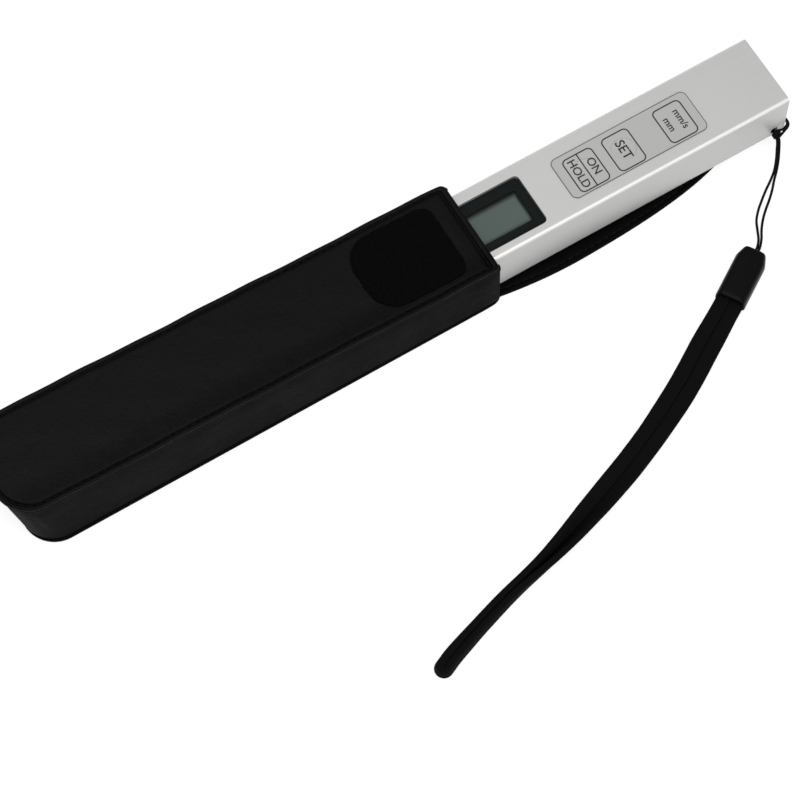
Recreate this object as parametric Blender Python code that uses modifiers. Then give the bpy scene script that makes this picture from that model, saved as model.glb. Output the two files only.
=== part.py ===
"""Pen-shaped vibration meter, drawn part of the way out of its leather-like sheath, with its wrist strap.

Metres, +Z up. The origin is on the floor, midway between the sheath's closed end and the meter's strap end.
The sheath lies on its back panel, its closing flap flat on the floor under the meter.
X runs from the sheath's closed end to the meter's strap end. Pieces of the meter are placed in the meter's own
frame: x = 0 at the strap end and negative towards the probe, y = 0 on the middle plane, z = 0 under the tube.
"""

import math

import bmesh
import bpy
import numpy as np
from mathutils import Matrix, Vector

# Clearances
SEAT = 0.00025  # between pieces that rest on each other
JOIN = 0.0003  # between pieces that are held or glued together
FINE = 0.0001  # round the window and the keys, which fit closely

# Aluminium tube of the meter
TUBE_WIDTH = 0.0220
TUBE_HEIGHT = 0.0169
TUBE_LENGTH = 0.1360
TUBE_WALL = 0.0012
TUBE_EDGE_RADIUS = 0.0010
RAIL_DEPTH = 0.0012
RAIL_HEIGHT = 0.0010
BOARD_DEPTH = 0.0089  # from the tube's top face to the top of the rails

# Display
WINDOW_SHARE = 0.80  # of the tube's spare length, between the shortest layout and the window
WINDOW_LENGTH = 0.0340
WINDOW_WIDTH = 0.0159
WINDOW_RADIUS = 0.0014
WINDOW_THICKNESS = 0.0010
FACE_LINE_Y = -0.0005  # the window and the keypad sit this far off the middle plane
GASKET_BORDER = 0.0030
GASKET_THICKNESS = 0.0004
GLASS_MARGIN = 0.0010
GLASS_THICKNESS = 0.0023
HOLDER_RIM = 0.0018
STRIP_WIDTH = 0.0016
STRIP_INSET = 0.0007

# Keypad film and keys
FILM_NEAR_MARGIN = 0.0231  # from the mode key to the film's end at the strap
FILM_FAR_MARGIN = 0.0073  # from the on key to the film's end at the display
FILM_TO_WINDOW = 0.0010  # the least that they may be apart
FILM_WIDTH = 0.0131
FILM_RADIUS = 0.0018
FILM_THICKNESS = 0.00015
KEY_RADIUS = 0.0034
KEY_CROWN = 0.00015
KEY_SKIRT = 0.0003
KEY_STEM_RADIUS = 0.0016
KEY_TRAVEL = 0.0004
KEY_PITCH = 0.0117
KEY_SHARE = 0.478  # of the tube's spare length, between the shortest layout and the mode key
KEY_LINE_Y = -0.0010
SWITCH_SIDE = 0.0060
SWITCH_HEIGHT = 0.0033

# Circuit board
BOARD_THICKNESS = 0.0010
BOARD_SIDE_GAP = 0.0004
CHIP_SIDE = 0.0090
CHIP_HEIGHT = 0.0014
MODULE_LENGTH = 0.0120
MODULE_WIDTH = 0.0060

# Strap end
CAP_LENGTH = 0.0065
CAP_FIT = 0.0002
STRAP_HOLE_DISTANCE = 0.0034
STRAP_HOLE_HEIGHT = 0.0032
STRAP_HOLE_INSET = 0.0030
STRAP_HOLE_RADIUS = 0.0012
CAP_SCREW_INSET = 0.0030
CAP_SCREW_DROP = 0.0046
SCREW_HEAD_RADIUS = 0.0020
SCREW_HEAD_HEIGHT = 0.0012
SCREW_RADIUS = 0.0010
SCREW_LENGTH = 0.0110
SCREW_SLOT = 0.0005

# Battery
CELL_ROOM = 0.00145  # round the cells, for the holder's wall and its clearances
CELL_LENGTH = 0.0054
CELL_COUNT = 3
CELL_LIP_INSET = 0.0011
CELL_LIP_HEIGHT = 0.0008
CONTACT_THICKNESS = 0.0004
SPRING_LENGTH = 0.0044
SPRING_WIRE_RADIUS = 0.00022
SPRING_WIDE_INSET = 0.0013
SPRING_NARROW_INSET = 0.0034
SPRING_TURNS = 3.5
BATTERY_WALL = 0.0012
BATTERY_SIDE = 0.0083

# Probe end
NOSE_LENGTH = 0.0037
NOSE_CHAMFER = 0.0014
SPIGOT_LENGTH = 0.0050
PROBE_SHANK_RADIUS = 0.0023
PROBE_COLLAR_RADIUS = 0.0038
PROBE_COLLAR_LENGTH = 0.0030
PROBE_CONE_LENGTH = 0.0067
PROBE_CONE_RADIUS = 0.0030
PROBE_TIP_RADIUS = 0.0009
NUT_FLATS_RADIUS = 0.0046
NUT_LENGTH = 0.0024
SENSOR_ROOM = 0.00075  # between the sensor's base and the tube
SENSOR_BASE_LENGTH = 0.0030
PIEZO_INSET = 0.0010
PIEZO_THICKNESS = 0.0008
ELECTRODE_THICKNESS = 0.0003
MASS_INSET = 0.0005
MASS_LENGTH = 0.0050
PRELOAD_RADIUS = 0.0014
PRELOAD_HEAD_RADIUS = 0.0026
PRELOAD_HEAD_LENGTH = 0.0016
PRELOAD_GRIP = 0.0017

# Sheath
SHEATH_LENGTH = 0.1430
DRAWN_OUT = 0.0923  # how far the meter stands out of the sheath's mouth
BACK_THICKNESS = 0.0014
POCKET_SIDE_CLEARANCE = 0.00125
POCKET_TOP_CLEARANCE = 0.00015
BAND_THICKNESS = 0.0012
BAND_LIP = 0.0007
END_RISE = 0.0067  # the sheath is this much thicker at its closed end
END_LEAN = 0.0046  # the end wall leans out by this much from back to front
BAND_BULGE = 0.0004
BAND_BEAD = 0.0006
FRONT_THICKNESS = 0.0010
FRONT_GROOVE = 0.0014
FRONT_GROOVE_DEPTH = 0.0005
FRONT_HEM_RATIO = 1.5
FRONT_CORNER_RADIUS = 0.0100
BACK_CORNER_RADIUS = 0.0100
MOUTH_CORNER_RADIUS = 0.0012
FOLD_ROUND = 0.0004
MOUTH_OVERHANG = 0.0005  # the band and the back panel run this far past the front panel
FLAP_LENGTH = 0.0840
FLAP_HALF_WIDTH = 0.01515
FLAP_NECK_HALF_WIDTH = 0.0132
FLAP_FULL_AT = 0.3  # share of the flap's length where it has reached its full width
LOOP_PATCH_LENGTH = 0.0265
LOOP_PATCH_WIDTH = 0.0224
LOOP_PATCH_THICKNESS = 0.0007
LOOP_PATCH_MARGIN = 0.0072
HOOK_PATCH_LENGTH = 0.0240
HOOK_PATCH_WIDTH = 0.0190
HOOK_PATCH_THICKNESS = 0.0006
HOOK_PATCH_MARGIN = 0.0035
PATCH_END_RADIUS = 0.0080
PATCH_CORNER_RADIUS = 0.0020

# Wrist strap
LOOP_CORD_RADIUS = 0.00055
LEG_RADIUS = 0.0003
KNOT_CENTRE = (-0.0040, -0.0129, 0.0030)
KNOT_RADII = (0.00125, 0.0011, 0.0012)
CLASP_LENGTH = 0.0165
CLASP_HALF_WIDTH = 0.00425
CLASP_THICKNESS = 0.0050
CLASP_LIFT = 0.0003
CLASP_SHOULDER = 0.0029
CLASP_NOSE_HALF_WIDTH = 0.0020
CLASP_EDGE = 0.0009
CLASP_MOUTH = (-0.0407, -0.04655)
CLASP_HEADING = 32.2  # degrees from +X, mouth to cord end
WEB_HALF_WIDTH = 0.00195
WEB_HALF_THICKNESS = 0.00085
WEB_GAP = 0.0001
WEB_LIFT = 0.0001
FOLD_RADIUS = 0.0012

# Routes in the meter's frame: the loop through the corner, the thin cord's two legs and the webbing
LOOP_ROUTE = (
    (-0.0036, -0.01140, 0.0031),
    (-0.0034, -0.01030, 0.0032),
    (-0.0031, -0.00910, 0.0032),
    (-0.0021, -0.00820, 0.0032),
    (-0.0006, -0.00800, 0.0032),
    (0.0008, -0.00815, 0.0032),
    (0.0014, -0.00910, 0.00315),
    (0.0015, -0.01040, 0.0031),
    (0.0011, -0.01170, 0.0030),
    (0.0001, -0.01260, 0.00295),
    (-0.0012, -0.01295, 0.0030),
    (-0.0024, -0.01300, 0.0030),
)
LEFT_LEG_ROUTE = (
    (-0.00450, -0.01435, 0.0024),
    (-0.00525, -0.01550, 0.0014),
    (-0.00665, -0.01750, 0.0000),
    (-0.00840, -0.01945, -0.0013),
    (-0.01055, -0.02110, -0.0020),
    (-0.01330, -0.02295, -0.00215),
    (-0.01595, -0.02495, -0.00215),
    (-0.01845, -0.02700, -0.00215),
    (-0.02055, -0.02930, -0.00215),
    (-0.02200, -0.03190, -0.0019),
    (-0.02340, -0.03440, -0.0013),
    (-0.02500, -0.03630, -0.0005),
    (-0.02650, -0.03745, -0.0001),
)
RIGHT_LEG_ROUTE = (
    (-0.00380, -0.01435, 0.0024),
    (-0.00455, -0.01560, 0.0014),
    (-0.00605, -0.01775, 0.0000),
    (-0.00780, -0.01975, -0.0013),
    (-0.00980, -0.02165, -0.0020),
    (-0.01190, -0.02385, -0.00215),
    (-0.01430, -0.02600, -0.00215),
    (-0.01680, -0.02800, -0.00215),
    (-0.01905, -0.03010, -0.00215),
    (-0.02100, -0.03240, -0.0019),
    (-0.02270, -0.03480, -0.0013),
    (-0.02450, -0.03680, -0.0005),
    (-0.02610, -0.03805, -0.0001),
)
STRAP_ROUTE = (
    (-0.04105, -0.04680),
    (-0.05230, -0.05335),
    (-0.06585, -0.06115),
    (-0.08290, -0.06955),
    (-0.10195, -0.07730),
    (-0.11905, -0.08220),
    (-0.13605, -0.08670),
    (-0.15205, -0.09220),
    (-0.15920, -0.09480),
)
STRAP_TWIST_START = 0.30  # shares of the route between which the webbing turns on edge
STRAP_TWIST_END = 0.87
STRAP_STATIONS = 34
FOLD_STATIONS = 9

# Places worked out from the sizes above
METER_END_X = (SHEATH_LENGTH + DRAWN_OUT) / 2
MOUTH_X = METER_END_X - DRAWN_OUT
SHEATH_END_X = MOUTH_X - SHEATH_LENGTH
METER_Z = BACK_THICKNESS + SEAT + HOOK_PATCH_THICKNESS + SEAT
POCKET_HALF_WIDTH = TUBE_WIDTH / 2 + POCKET_SIDE_CLEARANCE
BAND_HALF_WIDTH = POCKET_HALF_WIDTH + BAND_THICKNESS
SHEATH_HALF_WIDTH = BAND_HALF_WIDTH + BAND_LIP

CORE_HEIGHT = TUBE_HEIGHT / 2
INNER_HALF_WIDTH = TUBE_WIDTH / 2 - TUBE_WALL
INNER_TOP = TUBE_HEIGHT - TUBE_WALL
RAIL_TOP = TUBE_HEIGHT - BOARD_DEPTH
BOARD_BOTTOM = RAIL_TOP + JOIN
BOARD_TOP = BOARD_BOTTOM + BOARD_THICKNESS
WINDOW_TOP = TUBE_HEIGHT - FINE / 2
WINDOW_BOTTOM = WINDOW_TOP - WINDOW_THICKNESS
GASKET_TOP = WINDOW_BOTTOM - SEAT
GASKET_BOTTOM = GASKET_TOP - GASKET_THICKNESS
HOLDER_TOP = GASKET_BOTTOM - SEAT
GLASS_TOP = HOLDER_TOP - SEAT
GLASS_BOTTOM = GLASS_TOP - GLASS_THICKNESS
FILM_BOTTOM = TUBE_HEIGHT + FINE
FILM_TOP = FILM_BOTTOM + FILM_THICKNESS
FRONT_UNDERSIDE = METER_Z + FILM_TOP + KEY_CROWN + POCKET_TOP_CLEARANCE
SWITCH_TOP = BOARD_TOP + JOIN + SWITCH_HEIGHT

CAP_SCREW_Y = INNER_HALF_WIDTH - CAP_SCREW_INSET
CELL_RADIUS = CORE_HEIGHT - TUBE_WALL - CELL_ROOM
CELL_LIP_RADIUS = CELL_RADIUS - CELL_LIP_INSET
SPRING_WIDE_RADIUS = CELL_RADIUS - SPRING_WIDE_INSET
SPRING_NARROW_RADIUS = CELL_RADIUS - SPRING_NARROW_INSET
CONTACT_END = -(CAP_LENGTH + JOIN)
FIRST_CELL_END = CONTACT_END - CONTACT_THICKNESS - JOIN
CELL_PITCH = CELL_LENGTH + JOIN
SPRING_START = FIRST_CELL_END - CELL_COUNT * CELL_PITCH
BATTERY_BORE_END = SPRING_START - SPRING_LENGTH - JOIN
BATTERY_HOLDER_END = BATTERY_BORE_END - BATTERY_WALL
BOARD_NEAR_END = BATTERY_HOLDER_END - JOIN

SENSOR_BASE_RADIUS = CORE_HEIGHT - TUBE_WALL - SENSOR_ROOM
PIEZO_RADIUS = SENSOR_BASE_RADIUS - PIEZO_INSET
MASS_RADIUS = SENSOR_BASE_RADIUS - MASS_INSET
NOSE_START = -(TUBE_LENGTH + JOIN)
NOSE_FRONT = NOSE_START - NOSE_LENGTH
NUT_FRONT = NOSE_START + SPIGOT_LENGTH + JOIN
NUT_BACK = NUT_FRONT + NUT_LENGTH
BASE_FRONT = NUT_BACK + JOIN
BASE_BACK = BASE_FRONT + SENSOR_BASE_LENGTH
FIRST_PIEZO = BASE_BACK + JOIN
ELECTRODE_START = FIRST_PIEZO + PIEZO_THICKNESS + JOIN
SECOND_PIEZO = ELECTRODE_START + ELECTRODE_THICKNESS + JOIN
MASS_START = SECOND_PIEZO + PIEZO_THICKNESS + JOIN
PRELOAD_HEAD_START = MASS_START + MASS_LENGTH + JOIN
BOARD_FAR_END = PRELOAD_HEAD_START + PRELOAD_HEAD_LENGTH + 3 * JOIN

# The keys and the display share the length that the battery and the sensor leave
HOLDER_HALF_LENGTH = WINDOW_LENGTH / 2 - GLASS_MARGIN + JOIN + HOLDER_RIM
MODE_KEY_LEAST = -BOARD_NEAR_END + SWITCH_SIDE / 2 + JOIN
WINDOW_LEAST = MODE_KEY_LEAST + KEY_PITCH + FILM_FAR_MARGIN + FILM_TO_WINDOW + WINDOW_LENGTH / 2
SPARE_LENGTH = -BOARD_FAR_END - JOIN - HOLDER_HALF_LENGTH - WINDOW_LEAST
MODE_KEY_DISTANCE = MODE_KEY_LEAST + KEY_SHARE * SPARE_LENGTH
ON_KEY_DISTANCE = MODE_KEY_DISTANCE + KEY_PITCH
WINDOW_CENTRE_X = -(WINDOW_LEAST + WINDOW_SHARE * SPARE_LENGTH)
FILM_NEAR_END = MODE_KEY_DISTANCE - FILM_NEAR_MARGIN
FILM_LENGTH = FILM_NEAR_MARGIN + KEY_PITCH + FILM_FAR_MARGIN


def new_collection(name):
    collection = bpy.data.collections.new(name)
    bpy.context.scene.collection.children.link(collection)
    return collection


def new_material(name, color, roughness, metallic=0.0, alpha=1.0):
    material = bpy.data.materials.new(name)
    material.use_nodes = True
    shader = material.node_tree.nodes["Principled BSDF"]
    shader.inputs["Base Color"].default_value = (*color, 1.0)
    shader.inputs["Roughness"].default_value = roughness
    shader.inputs["Metallic"].default_value = metallic
    shader.inputs["Alpha"].default_value = alpha
    return material


def new_frame(name, place=(0.0, 0.0, 0.0), parent=None):
    """An empty that carries the pieces of one moving body."""
    empty = bpy.data.objects.new(name, None)
    empty.location = place
    empty.parent = parent
    PARTS.objects.link(empty)
    return empty


def add_object(name, data, parent, material=None, place=(0.0, 0.0, 0.0)):
    obj = bpy.data.objects.new(name, data)
    obj.parent = parent
    obj.location = place
    if material is None:
        CUTTERS.objects.link(obj)
        obj.hide_render = True
        obj.display_type = "WIRE"
    else:
        PARTS.objects.link(obj)
        data.materials.append(material)
    return obj


def shade(mesh, angle=35.0):
    mesh.shade_smooth()
    mesh.set_sharp_from_angle(angle=math.radians(angle))


def mesh_from(name, bm):
    bmesh.ops.recalc_face_normals(bm, faces=bm.faces)
    mesh = bpy.data.meshes.new(name)
    bm.to_mesh(mesh)
    bm.free()
    shade(mesh)
    return mesh


def box(name, low, high, parent, material=None, edge=0.0, along=None):
    """A block between two corners. With edge set, its edges are rounded: all, or those along one axis."""
    low = Vector(low)
    high = Vector(high)
    bm = bmesh.new()
    bmesh.ops.create_cube(bm, size=1.0, matrix=Matrix.Diagonal((*(high - low), 1.0)))
    if edge:
        edges = [
            e
            for e in bm.edges
            if along is None or abs((e.verts[1].co - e.verts[0].co).normalized()[along]) > 0.9
        ]
        bmesh.ops.bevel(bm, geom=edges, offset=edge, segments=3, profile=0.5, affect="EDGES")
    return add_object(name, mesh_from(name, bm), parent, material, (low + high) / 2)


AXIS_TURNS = {
    "X": Matrix.Rotation(math.radians(90), 4, "Y"),
    "Y": Matrix.Rotation(math.radians(-90), 4, "X"),
    "Z": Matrix.Identity(4),
}


def rod(name, start, end, radius, parent, material=None, axis="X", sides=32):
    """A cylinder between two points on a line along one axis."""
    start = Vector(start)
    end = Vector(end)
    bm = bmesh.new()
    bmesh.ops.create_cone(
        bm,
        cap_ends=True,
        segments=sides,
        radius1=radius,
        radius2=radius,
        depth=(end - start).length,
        matrix=AXIS_TURNS[axis],
    )
    return add_object(name, mesh_from(name, bm), parent, material, (start + end) / 2)


def turned(name, profile, place, parent, material, axis="Z", steps=32):
    """A turned piece: (radius, height) points run from the top, down the outer side, to the bottom."""
    mesh = bpy.data.meshes.new(name)
    points = [(radius, 0.0, height) for radius, height in profile]
    mesh.from_pydata(points, [(i, i + 1) for i in range(len(points) - 1)], [])
    obj = add_object(name, mesh, parent, material, place)
    screw = obj.modifiers.new("turn", "SCREW")
    screw.steps = steps
    screw.render_steps = steps
    screw.use_merge_vertices = True
    screw.merge_threshold = 0.00001
    screw.use_smooth_shade = True
    obj.rotation_euler = AXIS_TURNS[axis].to_euler()
    return obj


def ringed(name, profile, place, parent, material, axis="X", steps=32):
    """A turned piece with a hole: its closed profile doesn't reach the axis."""
    return turned(name, [*profile, profile[0]], place, parent, material, axis, steps)


def cut(target, cutter):
    modifier = target.modifiers.new(cutter.name, "BOOLEAN")
    modifier.operation = "DIFFERENCE"
    modifier.solver = "EXACT"
    modifier.object = cutter
    return target


def join(target, addition):
    modifier = target.modifiers.new(addition.name, "BOOLEAN")
    modifier.operation = "UNION"
    modifier.solver = "EXACT"
    modifier.object = addition
    return target


def arc(centre, radius, start, end, count):
    """Points on an arc, angles in degrees."""
    return [
        (
            centre[0] + radius * math.cos(math.radians(start + (end - start) * i / count)),
            centre[1] + radius * math.sin(math.radians(start + (end - start) * i / count)),
        )
        for i in range(count + 1)
    ]


def rounded(low, high, low_radius, high_radius=None, count=5):
    """A rectangle's outline with round corners: one radius at its low-x end, another at its high-x end."""
    high_radius = low_radius if high_radius is None else high_radius
    (x0, y0), (x1, y1) = low, high
    return [
        *arc((x1 - high_radius, y1 - high_radius), high_radius, 0, 90, count),
        *arc((x0 + low_radius, y1 - low_radius), low_radius, 90, 180, count),
        *arc((x0 + low_radius, y0 + low_radius), low_radius, 180, 270, count),
        *arc((x1 - high_radius, y0 + high_radius), high_radius, 270, 360, count),
    ]


def flat_curve(name, outlines, thickness):
    curve = bpy.data.curves.new(name, "CURVE")
    curve.dimensions = "2D"
    curve.fill_mode = "BOTH"
    curve.extrude = thickness / 2
    for outline in outlines:
        spline = curve.splines.new("POLY")
        spline.points.add(len(outline) - 1)
        for point, (x, y) in zip(spline.points, outline):
            point.co = (x, y, 0.0, 1.0)
        spline.use_cyclic_u = True
    return curve


def curve_to_mesh(curve):
    """The curve's solid as a closed mesh, its caps welded to its sides."""
    holder = bpy.data.objects.new(curve.name, curve)
    bpy.context.scene.collection.objects.link(holder)
    graph = bpy.context.evaluated_depsgraph_get()
    mesh = bpy.data.meshes.new_from_object(holder.evaluated_get(graph), depsgraph=graph)
    bpy.data.objects.remove(holder)
    bpy.data.curves.remove(curve)
    bm = bmesh.new()
    bm.from_mesh(mesh)
    bmesh.ops.remove_doubles(bm, verts=bm.verts, dist=0.000001)
    bm.to_mesh(mesh)
    bm.free()
    return mesh


def plate(name, outlines, bottom, top, parent, material, edge=0.0, centre=(0.0, 0.0)):
    """A flat piece of one outline, with its holes as further outlines."""
    mesh = curve_to_mesh(flat_curve(name, outlines, top - bottom))
    shade(mesh)
    obj = add_object(name, mesh, parent, material, (*centre, (bottom + top) / 2))
    if edge:
        bevel = obj.modifiers.new("edge", "BEVEL")
        bevel.width = edge
        bevel.segments = 2
        bevel.limit_method = "ANGLE"
        bevel.angle_limit = math.radians(50)
    return obj


def lofted(name, rings, parent, material):
    """A closed body through rings of equal count, capped at its first and last ring."""
    bm = bmesh.new()
    rows = [[bm.verts.new(point) for point in ring] for ring in rings]
    count = len(rows[0])
    for first, second in zip(rows, rows[1:]):
        for i in range(count):
            j = (i + 1) % count
            bm.faces.new((first[i], first[j], second[j], second[i]))
    bm.faces.new(rows[0])
    bm.faces.new(rows[-1])
    return add_object(name, mesh_from(name, bm), parent, material)


def smooth_route(points, count):
    """Points evenly spaced on the Catmull-Rom curve through a route."""
    route = np.array(points, float)
    ends = np.vstack([2 * route[0] - route[1], route, 2 * route[-1] - route[-2]])
    fine = []
    for a, b, c, d in zip(ends, ends[1:], ends[2:], ends[3:]):
        t = np.linspace(0.0, 1.0, 40, endpoint=False)[:, None]
        fine.append(
            0.5 * (2 * b + (c - a) * t + (2 * a - 5 * b + 4 * c - d) * t**2 + (3 * b - a - 3 * c + d) * t**3)
        )
    fine = np.vstack([*fine, route[-1:]])
    run = np.concatenate([[0.0], np.cumsum(np.linalg.norm(np.diff(fine, axis=0), axis=1))])
    places = np.linspace(0.0, run[-1], count)
    return np.column_stack([np.interp(places, run, fine[:, i]) for i in range(fine.shape[1])])


def tube(name, points, radius, parent, material, resolution=2):
    curve = bpy.data.curves.new(name, "CURVE")
    curve.dimensions = "3D"
    curve.bevel_depth = radius
    curve.bevel_resolution = resolution
    curve.use_fill_caps = True
    spline = curve.splines.new("POLY")
    spline.points.add(len(points) - 1)
    for point, place in zip(spline.points, points):
        point.co = (*place, 1.0)
    return add_object(name, curve, parent, material)


# The sheath

def rise(x):
    """How much higher the sheath stands at x than at its mouth."""
    return END_RISE * (MOUTH_X - x) / SHEATH_LENGTH


def flap_half_width(share):
    """The flap's half width at a share of its length: a neck at the mouth, full soon after, round at its end."""
    width = FLAP_HALF_WIDTH * math.sqrt(max(0.0, 1 - share**3))
    start = max(0.0, 1 - share / FLAP_FULL_AT)
    return width - (FLAP_HALF_WIDTH - FLAP_NECK_HALF_WIDTH) * start**2


def make_back_panel(frame, leather):
    """One sheet: the back of the sheath, rounded at the closed end, running on into the closing flap."""
    end = SHEATH_END_X + END_LEAN
    radius = BACK_CORNER_RADIUS
    shares = [math.sin(math.radians(90 * i / 18)) for i in range(19)]
    neck_x = MOUTH_X + MOUTH_OVERHANG
    reach = FLAP_LENGTH - MOUTH_OVERHANG
    near = [(neck_x, -SHEATH_HALF_WIDTH)]
    near += [(neck_x + reach * share, -flap_half_width(share)) for share in shares]
    far = [(x, -y) for x, y in reversed(near[:-1])]
    outline = [
        *arc((end + radius, SHEATH_HALF_WIDTH - radius), radius, 90, 180, 7),
        *arc((end + radius, radius - SHEATH_HALF_WIDTH), radius, 180, 270, 7),
        *near,
        *far,
    ]
    return plate("back_panel", [outline], 0.0, BACK_THICKNESS, frame, leather, edge=FOLD_ROUND)


def band_path(end_x, half_width, radius, count=8):
    """The band's line seen from above, from the mouth's near side round the closed end to its far side,
    with the outward direction at each point."""
    start = MOUTH_X + MOUTH_OVERHANG
    line = [(start + (end_x + radius - start) * i / 6, -half_width) for i in range(6)]
    line += [(x, y) for x, y in reversed(arc((end_x + radius, radius - half_width), radius, 180, 270, count))]
    line += [(x, y) for x, y in reversed(arc((end_x + radius, half_width - radius), radius, 90, 180, count))]
    line += [(x, half_width) for x, y in reversed(line[:6])]
    ways = [(0.0, -1.0)] * 6
    angles = [270 - 90 * i / count for i in range(count + 1)] + [180 - 90 * i / count for i in range(count + 1)]
    ways += [(math.cos(math.radians(a)), math.sin(math.radians(a))) for a in angles]
    ways += [(0.0, 1.0)] * 6
    return line, ways


def make_side_band(frame, leather):
    """The gusset: a wall that follows the back panel's outline below and the front panel's above."""
    bottom, ways = band_path(
        SHEATH_END_X + END_LEAN + BAND_LIP, BAND_HALF_WIDTH, BACK_CORNER_RADIUS - BAND_LIP
    )
    top, _ = band_path(SHEATH_END_X + BAND_LIP, BAND_HALF_WIDTH, FRONT_CORNER_RADIUS - BAND_LIP)
    z_low = BACK_THICKNESS + JOIN
    z_high = FRONT_UNDERSIDE - JOIN
    section = [
        (0.0, 0.0),
        (BAND_BULGE * 0.7, 0.2),
        (BAND_BULGE, 0.5),
        (BAND_BULGE * 0.5, 0.87),
        (0.0, 0.915),
        (BAND_BEAD * 0.8, 0.93),
        (BAND_BEAD, 0.96),
        (BAND_BEAD * 0.6, 0.993),
        (0.0, 1.0),
        (-BAND_THICKNESS, 1.0),
        (-BAND_THICKNESS, 0.0),
    ]
    rings = []
    for (x0, y0), (x1, y1), (ux, uy) in zip(bottom, top, ways):
        ring = []
        for out, share in section:
            x = x0 + (x1 - x0) * share + ux * out
            y = y0 + (y1 - y0) * share + uy * out
            ring.append((x, y, z_low + (z_high + rise(x) - z_low) * share))
        rings.append(ring)
    return lofted("side_band", rings, frame, leather)


def front_ring(inset, height):
    """One outline of the front panel, set in from its edge. The mouth's hem is wider than the sewn edge."""
    outline = rounded(
        (SHEATH_END_X + inset, inset - SHEATH_HALF_WIDTH),
        (MOUTH_X - inset * FRONT_HEM_RATIO, SHEATH_HALF_WIDTH - inset),
        FRONT_CORNER_RADIUS - inset,
        max(MOUTH_CORNER_RADIUS - inset, FOLD_ROUND),
        7,
    )
    return [(x, y, FRONT_UNDERSIDE + height + rise(x)) for x, y in outline]


def make_front_panel(frame, leather):
    """The front: a padded sheet with a turned edge and the sewn groove inside it."""
    top = FRONT_THICKNESS
    profile = [
        (FOLD_ROUND, 0.0),
        (0.0, FOLD_ROUND),
        (0.0, top - FOLD_ROUND),
        (FOLD_ROUND, top),
        (FRONT_GROOVE * 0.65, top),
        (FRONT_GROOVE * 0.9, top - FRONT_GROOVE_DEPTH),
        (FRONT_GROOVE * 1.15, top - FRONT_GROOVE_DEPTH),
        (FRONT_GROOVE * 1.5, top - 0.0001),
    ]
    rings = [front_ring(inset, height) for inset, height in profile]
    return lofted("front_panel", rings, frame, leather)


def patch_outline(length, width, toward_flap_end):
    """A patch with one square end and one round end."""
    ends = (PATCH_CORNER_RADIUS, PATCH_END_RADIUS) if toward_flap_end else (PATCH_END_RADIUS, PATCH_CORNER_RADIUS)
    return rounded((-length / 2, -width / 2), (length / 2, width / 2), *ends, 6)


def make_loop_patch(frame, fabric):
    """The soft half of the closure, on the front panel next to the mouth."""
    centre = MOUTH_X - LOOP_PATCH_MARGIN - LOOP_PATCH_LENGTH / 2
    outline = patch_outline(LOOP_PATCH_LENGTH, LOOP_PATCH_WIDTH, False)
    rings = []
    for height in (0.0, LOOP_PATCH_THICKNESS):
        z = FRONT_UNDERSIDE + FRONT_THICKNESS + FINE + height
        rings.append([(centre + x, y, z + rise(centre + x)) for x, y in outline])
    return lofted("loop_patch", rings, frame, fabric)


def make_hook_patch(frame, plastic):
    """The stiff half of the closure, on the flap's inner face near its end."""
    centre = MOUTH_X + FLAP_LENGTH - HOOK_PATCH_MARGIN - HOOK_PATCH_LENGTH / 2
    outline = patch_outline(HOOK_PATCH_LENGTH, HOOK_PATCH_WIDTH, True)
    bottom = BACK_THICKNESS + SEAT
    return plate(
        "hook_patch", [outline], bottom, bottom + HOOK_PATCH_THICKNESS, frame, plastic, centre=(centre, 0.0)
    )


# The meter's casing

def tube_outline(inset, radius):
    """The tube's section, set in from its outside."""
    half = TUBE_WIDTH / 2 - inset
    return rounded((-half, inset), (half, TUBE_HEIGHT - inset), radius, radius, 4)


def bore_outline():
    """The tube's bore, with a rail on each side that the board lies on."""
    half = INNER_HALF_WIDTH
    rail = half - RAIL_DEPTH
    low = RAIL_TOP - RAIL_HEIGHT
    right = [
        (half, TUBE_WALL),
        (half, low),
        (rail, low),
        (rail, RAIL_TOP),
        (half, RAIL_TOP),
        (half, INNER_TOP),
    ]
    return right + [(-y, z) for y, z in reversed(right)]


def section_body(name, outlines, start, end, frame, material):
    """A piece of one section in Y and Z, run along X."""
    mesh = curve_to_mesh(flat_curve(name, outlines, abs(end - start)))
    mesh.transform(Matrix(((0, 0, 1, 0), (1, 0, 0, 0), (0, 1, 0, 0), (0, 0, 0, 1))))
    shade(mesh)
    return add_object(name, mesh, frame, material, ((start + end) / 2, 0.0, 0.0))


def window_outline(border):
    """The window's outline, set in from the opening in the tube."""
    half = (WINDOW_LENGTH / 2 - border, WINDOW_WIDTH / 2 - border)
    radius = max(WINDOW_RADIUS - border, 0.0003)
    return rounded((-half[0], -half[1]), half, radius, radius, 4)


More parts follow.
